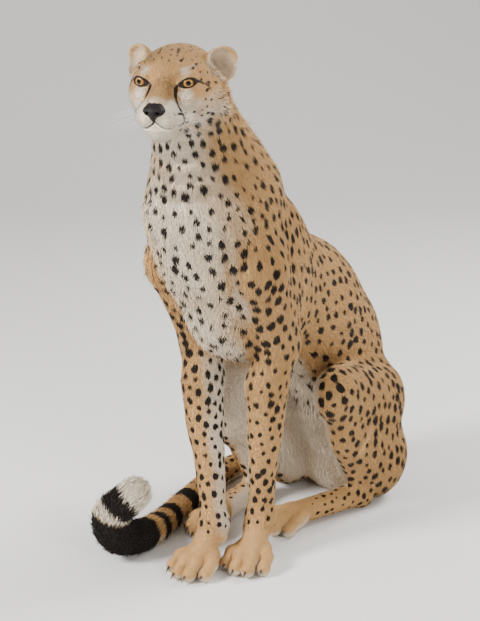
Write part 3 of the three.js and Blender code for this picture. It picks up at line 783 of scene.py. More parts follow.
def of_coat(names, owners=slice(None)):
    """Which bones, or which points that these bones own, belong to the named coats."""
    return np.isin(coats, names)[owners]


# %% Ragged places
def step_up(value, low, high):
    """0 below low, 1 above high, and a smooth rise between."""
    share = np.clip((value - low) / (high - low), 0, 1)
    return share * share * (3 - 2 * share)


RUFFS = [  # where the coat stands out: place, then reach and extra length in mm
    (body(132, -120, 588), 36, 9), (body(46, 44, 846), 34, 6), (skull(-62, 78, -40), 26, 5),
    (skull(-62, -78, -40), 26, 5), (skull(-30, 0, 52), 34, 2),
    *[(EARS[side].place(6, s * -20, -10), 11, 9) for side, s in SIDES.items()],
]


def above_belly(points):
    """How far each point is above the lower edge of the flank, in mm."""
    forward, _, up = BODY.local(points)
    return up - 318 - 0.36 * forward


def fringe(points):
    """1 along the lower edge of the flank, 0 away from it."""
    forward, left, _ = BODY.local(points)
    where = (forward < 30) & (forward > -330) & ((np.abs(left) > 40) | (forward < -150))
    return where * np.exp(-(above_belly(points) / 13) ** 2)


# %% What the bones say about some points
def from_bones(points):
    """Fur's length, spots' spacing and size, paleness and lie at each point, and its nearest bone."""
    near = np.array([bone.nearness(points) for bone in BONES])
    weights = np.exp(-5 * (near - near.min(axis=0)))
    weights /= weights.sum(axis=0)
    facts = weights.T @ np.array([bone.facts for bone in BONES])
    pale = weights.T @ np.array([bone.pale for bone in BONES])
    lie = weights.T @ np.array([bone.lie for bone in BONES])
    head_share = weights[of_coat("head")].sum(axis=0)
    away = unit(points - HEAD.place(84, 0, -36))
    lie = lie * (1 - head_share)[:, None] + away * head_share[:, None]
    on_trunk = of_coat(("chest", "loin"))
    forward, left, _ = BODY.local(points)
    flank = weights[on_trunk].sum(axis=0) * step_up(above_belly(points), -8, 44) * step_up(-forward, -50, 0)
    facts[:, 3] += flank * (0.3 + 0.7 * step_up(np.abs(left), 5, 60))
    own = near.argmin(axis=0)
    edge = fringe(points) * on_trunk[own]
    lie += 2 * edge[:, None] * DOWN / MM
    facts[:, 0] += 15 * edge
    for place, wide, extra in RUFFS:
        facts[:, 0] += extra * np.exp(-((points - place) ** 2).sum(axis=1) / (wide * MM) ** 2)
    return facts, pale, lie, own


COAT_SHARE = 0.42  # how deep the skin lies, as a share of the fur's length
facts = from_bones(skin_points)[0]
depth = facts[:, 0] * COAT_SHARE * MM
skin_points = settle(skin_points, skin_field, -depth)
skin_points = relaxed(skin_points, skin_edges, 2)
skin_points = settle(skin_points, skin_field, -depth, rounds=2)
print("skin settled, coat 1 to %.0f mm deep" % (depth.max() / MM))

# %% [markdown]
# ## Lids and lips
# The skin runs over the eyeballs as lids. An almond shape is opened in each, its outer corner
# higher than its inner one. The points near its edge are moved onto the edge, and those inside
# are pushed back behind the eyeball. The lips are a groove along a line that starts under the nose.

# %% Open the lids
EYE_GAZE = {side: Spot(EYES[side], HEAD_TURN @ turned(2, s * 16)) for side, s in SIDES.items()}
BALL_RADIUS = 17.9
LID_RADIUS = 18.9  # of the lids' skin at least, in mm from the eye's middle
EDGE_RADIUS = 18.3
BEHIND_RADIUS = 15.6  # where skin inside the opening hides
MM_PER_DEGREE = 0.31  # along the lids
LID_WIDE = 45  # degrees from the middle to each corner
LID_HIGH = 23.5  # the upper lid's height above the middle
LID_LOW = 20.5
LID_RISE = 0.15  # how much the outer corner is higher
LID_POWER = 1.65


def lid_reach(across, above):
    """Below 1 inside the opening, 1 on its edge; both angles are in degrees."""
    high = np.where(above > 0, LID_HIGH, LID_LOW)
    return (np.abs(across / LID_WIDE) ** LID_POWER + np.abs(above / high) ** LID_POWER) ** (1 / LID_POWER)


def eye_place(side, across, above, radius):
    """A place by its angles from the gaze: outward and up from the opening's sloping middle line."""
    a = np.radians(across) * SIDES[side]
    b = np.radians(above + LID_RISE * across)
    ways = np.stack([np.sin(a) * np.cos(b), -np.cos(a) * np.cos(b), np.sin(b)], axis=-1)
    return EYES[side] + radius * MM * ways @ EYE_GAZE[side].turn.T


def gaze_angles(side, points):
    """For each point: its distance from the eye's middle in mm, and its angles from the gaze."""
    forward, left, up = EYE_GAZE[side].local(points)
    reach = np.sqrt(forward**2 + left**2 + up**2)
    across = np.degrees(np.arctan2(SIDES[side] * left, forward))
    above = np.degrees(np.arcsin(up / reach)) - LID_RISE * across
    return reach, across, above


for side in SIDES:
    reach, across, above = gaze_angles(side, skin_points)
    close = np.flatnonzero((np.abs(across) < 85) & (reach < 30))
    reach, across, above = reach[close], across[close], above[close]
    edge = lid_reach(across, above)
    to_edge = 1 / np.maximum(edge, 0.01)
    snap = np.abs(np.hypot(across, above) * (to_edge - 1) * MM_PER_DEGREE) < 0.85
    radius = np.where(edge < 1, BEHIND_RADIUS, np.maximum(reach, LID_RADIUS))
    radius[snap] = EDGE_RADIUS
    stretch = np.where(snap, to_edge, 1)
    skin_points[close] = eye_place(side, across * stretch, above * stretch, radius[:, None])
print("lids opened")

# %% Shape of the nose leather
def nose_shape():
    top = egg(HEAD.place(70, 0, -30.5), (17, 13, 7.5), HEAD.turn @ turned(-32))
    front = HEAD.egg((78.5, 0, -38), (8, 9.5, 9))
    lower = HEAD.egg((78, 0, -46), (6, 4.5, 7.5))
    wings = [HEAD.egg((73, s * 11, -36.5), (12, 7.5, 7)) for s in SIDES.values()]
    holes = []
    for s in SIDES.values():
        holes.append(HEAD.limb((92, s * 6, -39), 2.4, (79, s * 9.5, -38.5), 2.6))
        holes.append(HEAD.limb((88, s * 9.5, -38.5), 1.9, (73, s * 19.5, -41.5), 1.5))
    groove = HEAD.limb((94, 0, -40), 0.8, (84, 0, -58), 1.4)
    block = blend(6, top, front, lower, *wings)
    return block, pressed(2, block, *holes, groove)


nose_block, nose_rule = nose_shape()
print("the nose's tip is", round(float(-nose_block(HEAD.place(78, 0, -38)[None])[0] / MM), 1), "mm deep")


# %% Lines of the face
def on_head(stops):
    """A line through places in the head's frame, laid onto the skin."""
    line = smooth_line(stops, 12)
    places = np.array([HEAD.place(*stop) for stop in line])
    return settle(places, skin_field, -1.5 * MM)


LIPS = [(84, 0, -50), (80, 1, -60), (75, 10, -67), (66, 20, -70), (54, 29, -69), (42, 35, -64),
        (28, 39, -57)]
TEARS = [(20, 21, -8), (27, 22, -15), (34, 23, -23), (42, 26, -34), (44, 30, -44), (41, 35, -54),
         (38, 36, -62)]
OUTER = [(10, 55, 3), (2, 60, 0), (-7, 64, -6), (-14, 67, -13)]


def both_sides(stops):
    flipped = [(forward, -left, up) for forward, left, up in stops]
    return np.concatenate([on_head(stops), on_head(flipped)])


lips = both_sides(LIPS)
tears = both_sides(TEARS)
outer_lines = both_sides(OUTER)
print("lips, tear lines and outer lines have", len(lips), len(tears), len(outer_lines), "stops")


def gap_to(points, line):
    """Distance in mm from each point to a line's nearest stop."""
    gap = np.full(len(points), 99.0)
    close = np.linalg.norm(points - line.mean(axis=0), axis=1) < 0.12
    offsets = points[close][:, None, :] - line[None, :, :]
    gap[close] = np.sqrt((offsets**2).sum(axis=2).min(axis=1)) / MM
    return gap


def nearest(points, centres):
    """The number of each point's nearest centre, worked out in parts to save memory."""
    found = np.empty(len(points), int)
    for k in range(0, len(points), 8000):
        part = points[k : k + 8000]
        found[k : k + 8000] = ((centres**2).sum(axis=1) - 2 * part @ centres.T).argmin(axis=1)
    return found


# %% Whisker roots
WHISKER_ROWS = ((-43, 4), (-48, 5), (-53, 5), (-58, 4))
whisker_dots = []
for up, number in WHISKER_ROWS:
    for k in range(number):
        for s in SIDES.values():
            whisker_dots.append(HEAD.place(70 - 7.5 * k + 0.1 * up, s * (22 + 4.2 * k), up))
whisker_dots = settle(np.array(whisker_dots), skin_field, -0.0015)
print(len(whisker_dots), "whisker roots")


# %% Press the lips
put_points(skin.data, skin_points)
normals = read(skin.data.vertices, "normal")
groove = 2.6 * np.exp(-(gap_to(skin_points, lips) / 1.9) ** 2)
skin_points = skin_points - normals * groove[:, None] * MM
sunk = 5 * step_up(-nose_block(skin_points) / MM, 0.5, 4)
skin_points = skin_points - (HEAD.turn @ at(1, 0, 0))[None] * sunk[:, None]
put_points(skin.data, skin_points)
print("lips pressed", round(float(groove.max()), 2), "mm deep")

# %% [markdown]
# ## Folds of the body
# A turned head folds the loose skin of the throat in three rings. Each side has creases behind,
# on and before the arm, above the haunch and on it. The breast has two and the belly one. They're
# broad, shallow grooves along lines that are laid onto the skin.

# %% Folds
def on_body(stops):
    line = smooth_line(stops, 10)
    places = np.array([body(*stop) for stop in line])
    return settle(places, skin_field, -0.003, rounds=5, stride=0.02)


def crease(stops, deep, wide):
    """How deep each skin point goes, in mm, tapering to the line's ends."""
    line = on_body(stops)
    own = nearest(skin_points, line)
    gap = np.linalg.norm(skin_points - line[own], axis=1) / MM
    taper = np.sin(np.pi * (own + 0.5) / len(line)) ** 1.2
    return deep * taper * np.exp(-(gap / wide) ** 2)


# Behind, on and before the arm, above the haunch and on it: depth and width, how much further
# ahead the right side's is, and the left side's line.
SIDE_CREASES = [
    (3.8, 13, 0, [(-104, 90, 650), (-78, 104, 570), (-70, 104, 490), (-58, 96, 420)]),
    (3.6, 11, 26, [(70, 104, 672), (76, 120, 620), (79, 125, 559), (55, 107, 486), (19, 107, 430)]),
    (5, 10, 0, [(150, 50, 690), (146, 66, 620), (112, 62, 540), (60, 52, 470)]),
    (4, 13, 0, [(-250, 130, 350), (-320, 128, 330), (-400, 118, 300), (-450, 96, 250)]),
    (4.6, 9, 80, [(-292, 149, 268), (-276, 145, 205), (-244, 132, 150), (-262, 117, 102), (-304, 116, 36)]),
]
folds = 0
for k, drop in enumerate((0, 34, 70)):
    folds += crease([(88, 92, 852 - drop), (150, 84, 828 - drop), (196, 30, 802 - drop),
                     (200, -20, 800 - drop), (160, -74, 822 - drop), (96, -92, 850 - drop)],
                    3.4 - 0.7 * k, 10)
for s in SIDES.values():
    for deep, wide, right_ahead, stops in SIDE_CREASES:
        ahead = 0 if s > 0 else right_ahead
        folds += crease([(forward + ahead, s * left, up) for forward, left, up in stops], deep, wide)
folds += crease([(216, -1, 682), (206, -4, 640), (196, -4, 608), (184, 0, 579)], 3, 9)
folds += crease([(154, -2, 528), (135, 13, 497), (111, 34, 464), (79, 40, 429)], 4, 9)
folds += crease([(-250, 80, 211), (-262, 40, 211), (-264, 0, 211), (-262, -40, 211), (-250, -80, 211)], 6, 12)
skin_points = skin_points - normals * folds[:, None] * MM
put_points(skin.data, skin_points)
print("folds pressed", round(float(folds.max()), 1), "mm deep")

# %% [markdown]
# ## Markings
# A cheetah's spots are solid and scattered, close but never touching. They're sown on the skin
# with a seed: a random point is kept when it is far enough from all spots kept before. Skin and
# coat both ask the same rule how deep inside a dark mark a point lies, so their markings agree.

# %% Sow the spots
facts, pale_way, lie, owner = from_bones(skin_points)
flat_lie = relaxed(flattened(lie, normals), skin_edges, 6, 0.6)
flat_lie = unit(flattened(flat_lie, normals))


def sow(points, spacing, allowed):
    """Seeded points no closer than the spacing, in mm, at each."""
    cells = {}
    kept = []
    size = 0.034  # of a cell, so that all spots within one gap are in the cells beside it
    for i in chance.permutation(np.flatnonzero(allowed)):
        cell = tuple((points[i] // size).astype(int))
        gap = spacing[i] * MM * (0.8 + 0.36 * ((i * 0.618) % 1))
        beside = [j for a in (-1, 0, 1) for b in (-1, 0, 1) for c in (-1, 0, 1)
                  for j in cells.get((cell[0] + a, cell[1] + b, cell[2] + c), ())]
        if beside and ((points[beside] - points[i]) ** 2).sum(axis=1).min() < gap**2:
            continue
        cells.setdefault(cell, []).append(i)
        kept.append(i)
    return np.array(kept)


on_tail = of_coat("tail", owner)
face_parts = np.minimum(gap_to(skin_points, tears), gap_to(skin_points, outer_lines))
forward, left, up = HEAD.local(skin_points)
bare_face = (forward > 2) & (np.abs(left) > 18) & (up < 22) & (up > -44)
bare_face |= (forward > -14) & (np.abs(left) < 40) & (up < 34) & (up > -44)
for spot in EARS.values():
    bare_face |= np.linalg.norm(skin_points - spot.origin, axis=1) < 0.042
forward, left, up = BODY.local(skin_points)
on_flank = of_coat(("chest", "loin"), owner) & (above_belly(skin_points) > 4)
pale_side = (normals * pale_way).sum(axis=1) > facts[:, 3]
belly_side = (forward < 10) & (up < 420) & pale_side & ~on_flank
may_spot = (facts[:, 2] > 1.2) & (face_parts > 6) & ~bare_face & ~belly_side
sown = sow(skin_points, facts[:, 1], may_spot)
spot_centres = skin_points[sown]
spot_sizes = facts[sown, 2] * (0.62 + 0.6 * chance.random(len(sown)))
spot_lies = flat_lie[sown]
spot_normals = normals[sown]
spot_phase = chance.random((len(sown), 2)) * 6.28
print(len(sown), "spots")


# %% Dark marks
tail_steps = np.linalg.norm(np.diff(tail_places, axis=0), axis=1) / MM
tail_along = np.concatenate([[0], np.cumsum(tail_steps)])
TEAR_WIDE = 3.0  # half widths of the face's dark lines, in mm
OUTER_WIDE = 2.3
LIP_WIDE = 2.1
WHISKER_DOT = 1.35
EAR_PATCH = 21  # radius of the black on an ear's back
RINGS_FROM = 480  # mm from the tail's root, from here on rings take the place of spots
WHITE_FROM = 846
BANDS = [(500, 540), (590, 622), (648, 672), (698, WHITE_FROM), (858, 892)]  # the dark rings


def spot_depth(points, facing):
    """How far inside the nearest spot each point is, in mm; outside is below zero.

    A spot is a little longer than wide, and its edge waves."""
    own = nearest(points, spot_centres)
    away = (points - spot_centres[own]) / MM
    along = (away * spot_lies[own]).sum(axis=1)
    across = (away * np.cross(spot_normals[own], spot_lies[own])).sum(axis=1)
    height = (away * spot_normals[own]).sum(axis=1)
    angle = np.arctan2(across, along)
    phase = spot_phase[own]
    uneven = 1 + 0.1 * np.sin(2 * angle + phase[:, 0]) + 0.08 * np.sin(3 * angle + phase[:, 1])
    distance = np.sqrt((along / 1.14) ** 2 + (across * 1.1) ** 2 + (0.6 * height) ** 2)
    inside = spot_sizes[own] * uneven - distance
    return np.where((facing * spot_normals[own]).sum(axis=1) > 0.2, inside, -9)


def tail_distance(points):
    """Distance along the tail from its root, in mm."""
    near_stop = np.clip(nearest(points, tail_places), 1, len(tail_places) - 2)
    axis = unit(tail_places[near_stop + 1] - tail_places[near_stop - 1])
    return tail_along[near_stop] + ((points - tail_places[near_stop]) * axis).sum(axis=1) / MM


def dark_depth(points, facing, tail_part, head_part):
    """How far inside any dark mark each point is, in mm."""
    dark = spot_depth(points, facing)
    if tail_part.any():
        along = tail_distance(points[tail_part])
        rings = np.max([np.minimum(along - a, b - along) for a, b in BANDS], axis=0)
        dark[tail_part] = np.where(along > RINGS_FROM, rings, dark[tail_part])
    own = points[head_part]
    if len(own):
        tear_wide = TEAR_WIDE + 0.012 * (HEAD.local(own)[2] + 20)
        marks = [dark[head_part], tear_wide - gap_to(own, tears), OUTER_WIDE - gap_to(own, outer_lines),
                 LIP_WIDE - gap_to(own, lips)]
        for side, ear_spot in EARS.items():
            reach, across, above = gaze_angles(side, own)
            rim = (1 - lid_reach(across, above)) * 8 + np.where(above > 0, 2.6, 1.8)
            marks.append(np.where((np.abs(across) < 85) & (reach < 28), rim, -9))
            forward, left, up = ear_spot.local(own)
            behind = -(facing[head_part] @ ear_spot.turn)[:, 1]
            off = np.sqrt((forward + 22) ** 2 + (left - 7 * SIDES[side]) ** 2 + (up - 6) ** 2)
            marks.append(np.where(behind < -0.05, EAR_PATCH - off, -9))
        marks.append(WHISKER_DOT - gap_to(own, whisker_dots))
        marks.append(0.7 - nose_block(own) / MM)
        dark[head_part] = np.max(marks, axis=0)
    return dark


# %% Pale parts
def by_tail(points):
    return np.linalg.norm(points - tail_places[nearest(points, tail_places)], axis=1) < 0.045


def paleness(points, facing, facts, pale_way, head_part):
    """0 is tawny, 1 is white."""
    uneven = 0.09 * np.sin(points @ np.array([[70, 20], [-30, 60], [25, 45]])).sum(axis=1)
    pale = 0.9 * step_up((facing * pale_way).sum(axis=1) + uneven, facts[:, 3] - 0.4, facts[:, 3] + 0.42)
    forward, left, up = HEAD.local(points[head_part])
    side = np.abs(left)
    parts = [  # the muzzle's sides, chin, cheeks, below and above the eyes, and the jaw's side
        step_up(forward - 0.5 * up, 48, 60) * step_up(side + 0.5 * (-30 - up), 10, 20),
        step_up(-up + 0.25 * forward, 62, 74),
        0.9 * step_up(forward, 2, 14) * step_up(-up, 20, 34) * step_up(side, 24, 30),
        step_up(12 - np.sqrt((forward - 22) ** 2 + (side - 40) ** 2 + (up + 19) ** 2), -4, 6),
        0.75 * step_up(9 - np.sqrt((forward - 14) ** 2 + (side - 36) ** 2 + (up - 20) ** 2), -4, 5),
        0.75 * step_up(side - 0.8 * up + 0.3 * forward, 80, 108) * step_up(forward, -84, -40),
    ]
    for spot in EARS.values():
        ahead, left, up = spot.local(points[head_part])
        inner = step_up(-(facing[head_part] @ spot.turn)[:, 1], 0.05, 0.5)
        cup = step_up(30 - np.sqrt(left**2 + up**2), 0, 5)
        cup = cup * step_up(ahead, -26, -20) * step_up(26 - ahead, 0, 6)
        parts.append(0.55 * inner * cup)
    pale[head_part] = np.max([0.6 * pale[head_part]] + parts, axis=0)
    return np.where((tail_distance(points) > WHITE_FROM) & by_tail(points), 1.0, pale)


head_part = of_coat("head", owner)
skin_dark = dark_depth(skin_points, normals, on_tail, head_part)
skin_pale = paleness(skin_points, normals, facts, pale_way, head_part)


def ear_hollow(points, facing):
    """1 deep in an ear's cup, 0 elsewhere. It darkens the cup: partly the ear's darker inner skin, partly
    painted shade.
    """
    share = np.zeros(len(points))
    for spot in EARS.values():
        ahead, left, up = spot.local(points)
        off = np.sqrt(left**2 + (up - 1) ** 2)
        inner = step_up(-(facing @ spot.turn)[:, 1], 0.2, 0.6) * step_up(19 - off, 0, 9)
        share = np.maximum(share, inner * (np.abs(ahead) < 20))
    return share


def give(obj, name, values):
    attribute = obj.data.attributes.new(name, "FLOAT", "POINT")
    attribute.data.foreach_set("value", np.asarray(values, np.float32))


give(skin, "dark", np.clip(skin_dark, -12, 12))
give(skin, "pale", skin_pale)
give(skin, "shade", np.full(len(skin_points), 0.4))
# Painted shade: the skin under the coat is darkened like a tuft's middle, and more deep in an ear's cup
give(skin, "tip", 0.55 - 0.55 * ear_hollow(skin_points, normals))
print("dark share of the skin", round(float((skin_dark > 0).mean()), 3))

# %% [markdown]
# ## Coat colours
# One material serves skin and coat. It reads four attributes: how deep in a dark mark, how pale,
# a random shade for each tuft, and how near the tuft's tip. Nearer the root the colour is darker,
# a painted shade among the tufts, and so are the skin under them and an ear's cup, partly its darker
# inner skin and partly painted shade. Noise in the object's own coordinates breaks the colours up,
# and a fine bump stands for the hairs within a tuft.

# %% Coat material
coat_paint = new_paint("cheetah coat", (0.8, 0.8, 0.8), {
    "Roughness": 0.62, "Specular IOR Level": 0.2, "Sheen Weight": 0.05, "Sheen Roughness": 0.5})
NONE = (0, 0, 0)  # a colour that the one before it is wired into


def mix_by(name, low, high, first, second):
    """Two colours mixed by an attribute: the first below low, the second above high."""
    reader = add_node(coat_paint, "Attribute", {}, attribute_name=name)
    share = add_node(coat_paint, "MapRange", {"From Min": low, "From Max": high})
    wire(reader, "Fac", share, "Value")
    mix = add_node(coat_paint, "Mix", {"A": (*first, 1), "B": (*second, 1)}, data_type="RGBA")
    wire(share, "Result", mix, "Factor")
    return reader, share, mix


_, _, tawny = mix_by("shade", 0, 1, (0.52, 0.29, 0.10), (0.80, 0.52, 0.235))
_, _, pale_mix = mix_by("pale", 0, 1, NONE, (0.88, 0.80, 0.66))
dark_reader, dark_share, dark_mix = mix_by("dark", -0.5, 0.5, NONE, (0.016, 0.010, 0.007))
# Painted shade within the coat: colours are multiplied darker towards a tuft's root and a little lighter at
# its tip
_, _, root_shade_mix = mix_by("tip", 0, 1, (0.62, 0.58, 0.55), (1.08, 1.05, 1.0))
coat_place = add_node(coat_paint, "TexCoord", {})
ragged = add_node(coat_paint, "TexNoise", {"Scale": 240, "Detail": 2})
shift = add_node(coat_paint, "Math", {1: 2.4}, operation="MULTIPLY_ADD")
centred = add_node(coat_paint, "Math", {1: 1.2}, operation="SUBTRACT")
# This multiply lays the painted root shade over the coat's colours
root_shade_multiply = add_node(coat_paint, "Mix", {"Factor": 1}, data_type="RGBA", blend_type="MULTIPLY")
hairs = add_node(coat_paint, "TexNoise", {"Scale": 700, "Detail": 3})
bump = add_node(coat_paint, "Bump", {"Strength": 0.5, "Distance": 0.0006})
for link in [
    (tawny, "Result", pale_mix, "A"), (pale_mix, "Result", dark_mix, "A"),
    (coat_place, "Object", ragged, "Vector"), (ragged, "Fac", shift, 0),
    (dark_reader, "Fac", shift, 2), (shift, "Value", centred, 0),
    (centred, "Value", dark_share, "Value"), (dark_mix, "Result", root_shade_multiply, "A"),
    (root_shade_mix, "Result", root_shade_multiply, "B"), (root_shade_multiply, "Result", shader_of(coat_paint), "Base Color"),
    (coat_place, "Object", hairs, "Vector"), (hairs, "Fac", bump, "Height"),
    (bump, "Normal", shader_of(coat_paint), "Normal"),
]:
    wire(*link)
skin.data.materials.append(coat_paint)
for name in FLESH:
    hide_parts(name)
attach(skin, "root")
print("the skin replaces", len(FLESH), "nodes")

# %% [markdown]
# ## The coat
# Each tuft is a thin closed spike: short ones are straight wedges that lie almost flat, long ones
# have a middle ring, so that they can bend. They're sown over the skin's triangles by area, with
# more of them where fur is short and fine. A tuft's base is buried, and its tip reaches the packed
# outline. Each coat piece gets a map, OFBake, where a tuft is one small patch at its root's place
# on an unwrap of the skin: round the nearest bone, with a band for each bone.

# %% Skin triangles as soil
skin.data.calc_loop_triangles()
triangles = read(skin.data.loop_triangles, "vertices", 3, int)
normals = read(skin.data.vertices, "normal")
first, second, third = [skin_points[triangles[:, k]] for k in range(3)]
areas = np.linalg.norm(np.cross(second - first, third - first), axis=1) / 2 / MM**2
face_middles = (first + second + third) / 3
hidden = face_middles[:, 2] < 0.0025
for side in SIDES:
    reach, across, above = gaze_angles(side, face_middles)
    hidden |= (reach < 26) & (np.abs(across) < 80) & (lid_reach(across, above) < 1.22)
hidden |= nose_block(face_middles) < 0.0006
hidden |= gap_to(face_middles, lips) < 1.3
face_fur = facts[triangles, 0].mean(axis=1)
face_owner = owner[triangles[:, 0]]
skin_area = areas.sum() / 1e6
print(len(triangles), "triangles,", round(skin_area, 2), "square metres of skin")


# %% Roots, directions and lengths
COATS = sorted(set(coats))
MOST = 160000  # triangles of one coat piece
LONG_FUR = 9.6  # mm, from here on tufts bend
SHORT_LIFT = 12  # degrees that tufts stand off the skin
LONG_LIFT = 15
STRAY_SHARE = 0.08  # of the long tufts, and these stand off more
HIDDEN_BASE = 0.0004  # how far a tuft's base is under the skin
RING_TIP = 0.55  # how near its tip a long tuft's ring counts, 1 is the tip
PATCH = 0.003  # a tuft's width on the map


def scatter(coat):
    """Where a coat's tufts grow: the three skin points round each, and their weights."""
    faces = np.flatnonzero(of_coat(coat, face_owner) & ~hidden)
    spacing = 1.35 + 0.155 * face_fur[faces]
    wanted = areas[faces] / spacing**2
    cost = (wanted * np.where(face_fur[faces] > LONG_FUR, 10, 4)).sum()
    wanted *= min(2.6, MOST * (1.2 if coat == "head" else 1) / cost)
    number = np.floor(wanted + chance.random(len(faces))).astype(int)
    picked = np.repeat(faces, number)
    a, b = chance.random((2, len(picked)))
    flip = a + b > 1
    a, b = np.where(flip, 1 - a, a), np.where(flip, 1 - b, b)
    return triangles[picked], np.stack([1 - a - b, a, b], axis=1)


def mixed(values, corners, weights):
    return (values[corners] * weights[:, :, None]).sum(axis=1)


def unwrap(points, bones_of, coat):
    """Where each point lies on an unwrap round its bone, a band for each bone."""
    own = [k for k in range(len(BONES)) if coats[k] == coat]
    uv = np.zeros((len(points), 2))
    for band, k in enumerate(own):
        mine = bones_of == k
        if not mine.any():
            continue
        bone = BONES[k]
        axis = bone.end - bone.start
        along = (points[mine] - bone.start) @ axis / (axis @ axis)
        side = np.cross(axis, [0.31, 0.52, 0.79])
        side /= np.linalg.norm(side)
        other = np.cross(axis, side) / np.linalg.norm(axis)
        off = points[mine] - bone.start
        angle = np.arctan2(off @ other, off @ side)
        uv[mine, 0] = 0.01 + 0.98 * (angle / (2 * np.pi) + 0.5)
        uv[mine, 1] = (band + 0.03 + 0.94 * (along - along.min()) / max(np.ptp(along), 1e-6)) / len(own)
    return uv


# %% The shape of tufts
def tuft_shapes(root, out, way, fur):
    """Each tuft's way and length, the corners of its base and ring, and its tip."""
    count = len(root)
    drift = np.sin(root @ np.array([[61, 13], [-17, 53], [29, 47]]) * 1.6 + [0.5, 2.1]).sum(axis=1) * 0.07
    side = np.cross(out, way)
    long_hair = fur > LONG_FUR
    wander = np.where(long_hair, 0.26, 0.13)
    way = unit(way + side * (drift + wander * chance.normal(size=count))[:, None])
    side = unit(np.cross(out, way))
    length = fur * (1.1 + 0.6 * chance.random(count)) * MM
    lift = np.where(long_hair, LONG_LIFT, SHORT_LIFT)
    lift = np.radians(lift + np.where(long_hair, 7, 3.5) * chance.normal(size=count))
    stray = (chance.random(count) < STRAY_SHARE) & long_hair
    lift = np.where(stray, lift + 0.3, np.clip(lift, 0.06, 0.6))
    width = (0.4 + 0.105 * fur) * (0.8 + 0.5 * chance.random(count)) * MM
    rise = way * np.cos(lift)[:, None] + out * np.sin(lift)[:, None]
    under = root - out * HIDDEN_BASE
    half = side * (width / 2)[:, None]
    crest = under + out * (width * 0.42 + 0.0002)[:, None]
    base = np.stack([under - half, under + half, crest], axis=1)
    droop = unit(rise - out * 0.24 + side * (0.16 * chance.normal(size=count))[:, None])
    middle = rise * (length * 0.5)[:, None]
    ring = base + middle[:, None, :]
    ring += (ring.mean(axis=1)[:, None, :] - ring) * 0.3
    bent = root + middle + droop * (length * 0.5)[:, None]
    tip = np.where(long_hair[:, None], bent, root + rise * length[:, None])
    return way, length, base, ring, tip


SHORT_FACES = [(0, 2, 1), (0, 1, 3), (1, 2, 3), (2, 0, 3)]
LONG_FACES = [(0, 2, 1)]
for k in range(3):
    n = (k + 1) % 3
    LONG_FACES += [(k, n, n + 3), (k, n + 3, k + 3), (k + 3, n + 3, 6)]


def tuft_mesh(base, ring, tip, long_hair):
    """Points, faces, how many points each tuft has, and how near its tip each point is."""
    number = np.where(long_hair, 7, 4)
    start = np.concatenate([[0], np.cumsum(number)[:-1]])
    points = np.zeros((number.sum(), 3))
    tip_share = np.zeros(len(points))
    for k in range(3):
        points[start + k] = base[:, k]
        points[start[long_hair] + 3 + k] = ring[long_hair, k]
        tip_share[start[long_hair] + 3 + k] = RING_TIP
    points[start + number - 1] = tip
    tip_share[start + number - 1] = 1
    points[:, 2] = np.maximum(points[:, 2], 0.0003)
    short_faces = (start[~long_hair][:, None, None] + np.array(SHORT_FACES)).reshape(-1, 3)
    long_faces = (start[long_hair][:, None, None] + np.array(LONG_FACES)).reshape(-1, 3)
    return points, np.concatenate([short_faces, long_faces]), number, tip_share


print("a short tuft has", len(SHORT_FACES), "faces and a long one", len(LONG_FACES))


# %% Grow one piece of coat
def grow(coat):
    corners, weights = scatter(coat)
    root = mixed(skin_points, corners, weights)
    out = unit(mixed(normals, corners, weights))
    fur = mixed(facts[:, :1], corners, weights)[:, 0]
    way, length, base, ring, tip = tuft_shapes(root, out, mixed(flat_lie, corners, weights), fur)
    points, faces, number, tip_share = tuft_mesh(base, ring, tip, fur > LONG_FUR)
    made = new_object("coat_" + coat, points, faces)
    tuft = np.repeat(np.arange(len(root)), number)

    root_owner = owner[corners[:, 0]]
    in_head_coat = of_coat("head", root_owner)
    parts = [of_coat("tail", root_owner), in_head_coat]
    ahead = way * length[:, None]
    seen = root + ahead * np.where(in_head_coat, 0.1, 0.55)[:, None]
    seen_tip = root + ahead * np.where(in_head_coat, 0.9, 0.55)[:, None]
    dark_root = dark_depth(seen, out, *parts)[tuft]
    dark_tip = dark_depth(seen_tip, out, *parts)[tuft]
    root_facts = mixed(facts, corners, weights)
    root_pale_way = mixed(pale_way, corners, weights)
    pale = paleness(root + ahead * 0.5, out, root_facts, root_pale_way, in_head_coat)
    give(made, "dark", np.clip(dark_root + (dark_tip - dark_root) * tip_share, -12, 12))
    give(made, "pale", pale[tuft])
    give(made, "shade", np.clip(0.5 + 0.22 * chance.normal(size=len(root)), 0, 1)[tuft])
    # Painted shade: tufts are darker towards their roots, and darker still deep in an ear's cup, where that
    # is partly the ear's own darker inside
    give(made, "tip", tip_share * (1 - 0.9 * ear_hollow(root, out)[tuft]))

    uv = unwrap(root, root_owner, coat)[tuft] + PATCH * (chance.random((len(points), 2)) - 0.5)
    loops = read(made.data.loops, "vertex_index", 1, int)[:, 0]
    bake_map = made.data.uv_layers.new(name="OFBake")
    bake_map.data.foreach_set("uv", np.clip(uv[loops], 0, 1).astype(np.float32).ravel())
    made.data.materials.append(coat_paint)
    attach(made, "root")
    return len(root), len(faces)


total = 0
for coat in COATS:
    tufts, faces = grow(coat)
    total += faces
    print("coat_%s: %d tufts, %d triangles" % (coat, tufts, faces))
print("coat", total, "triangles")

# %% [markdown]
# ## Eyes
# Round pupils and amber irises, darker at the rim. An eyeball is a sphere whose colours follow the
# angle from its gaze, and its front bulges a little as a cornea. A black rim lies along each lid.

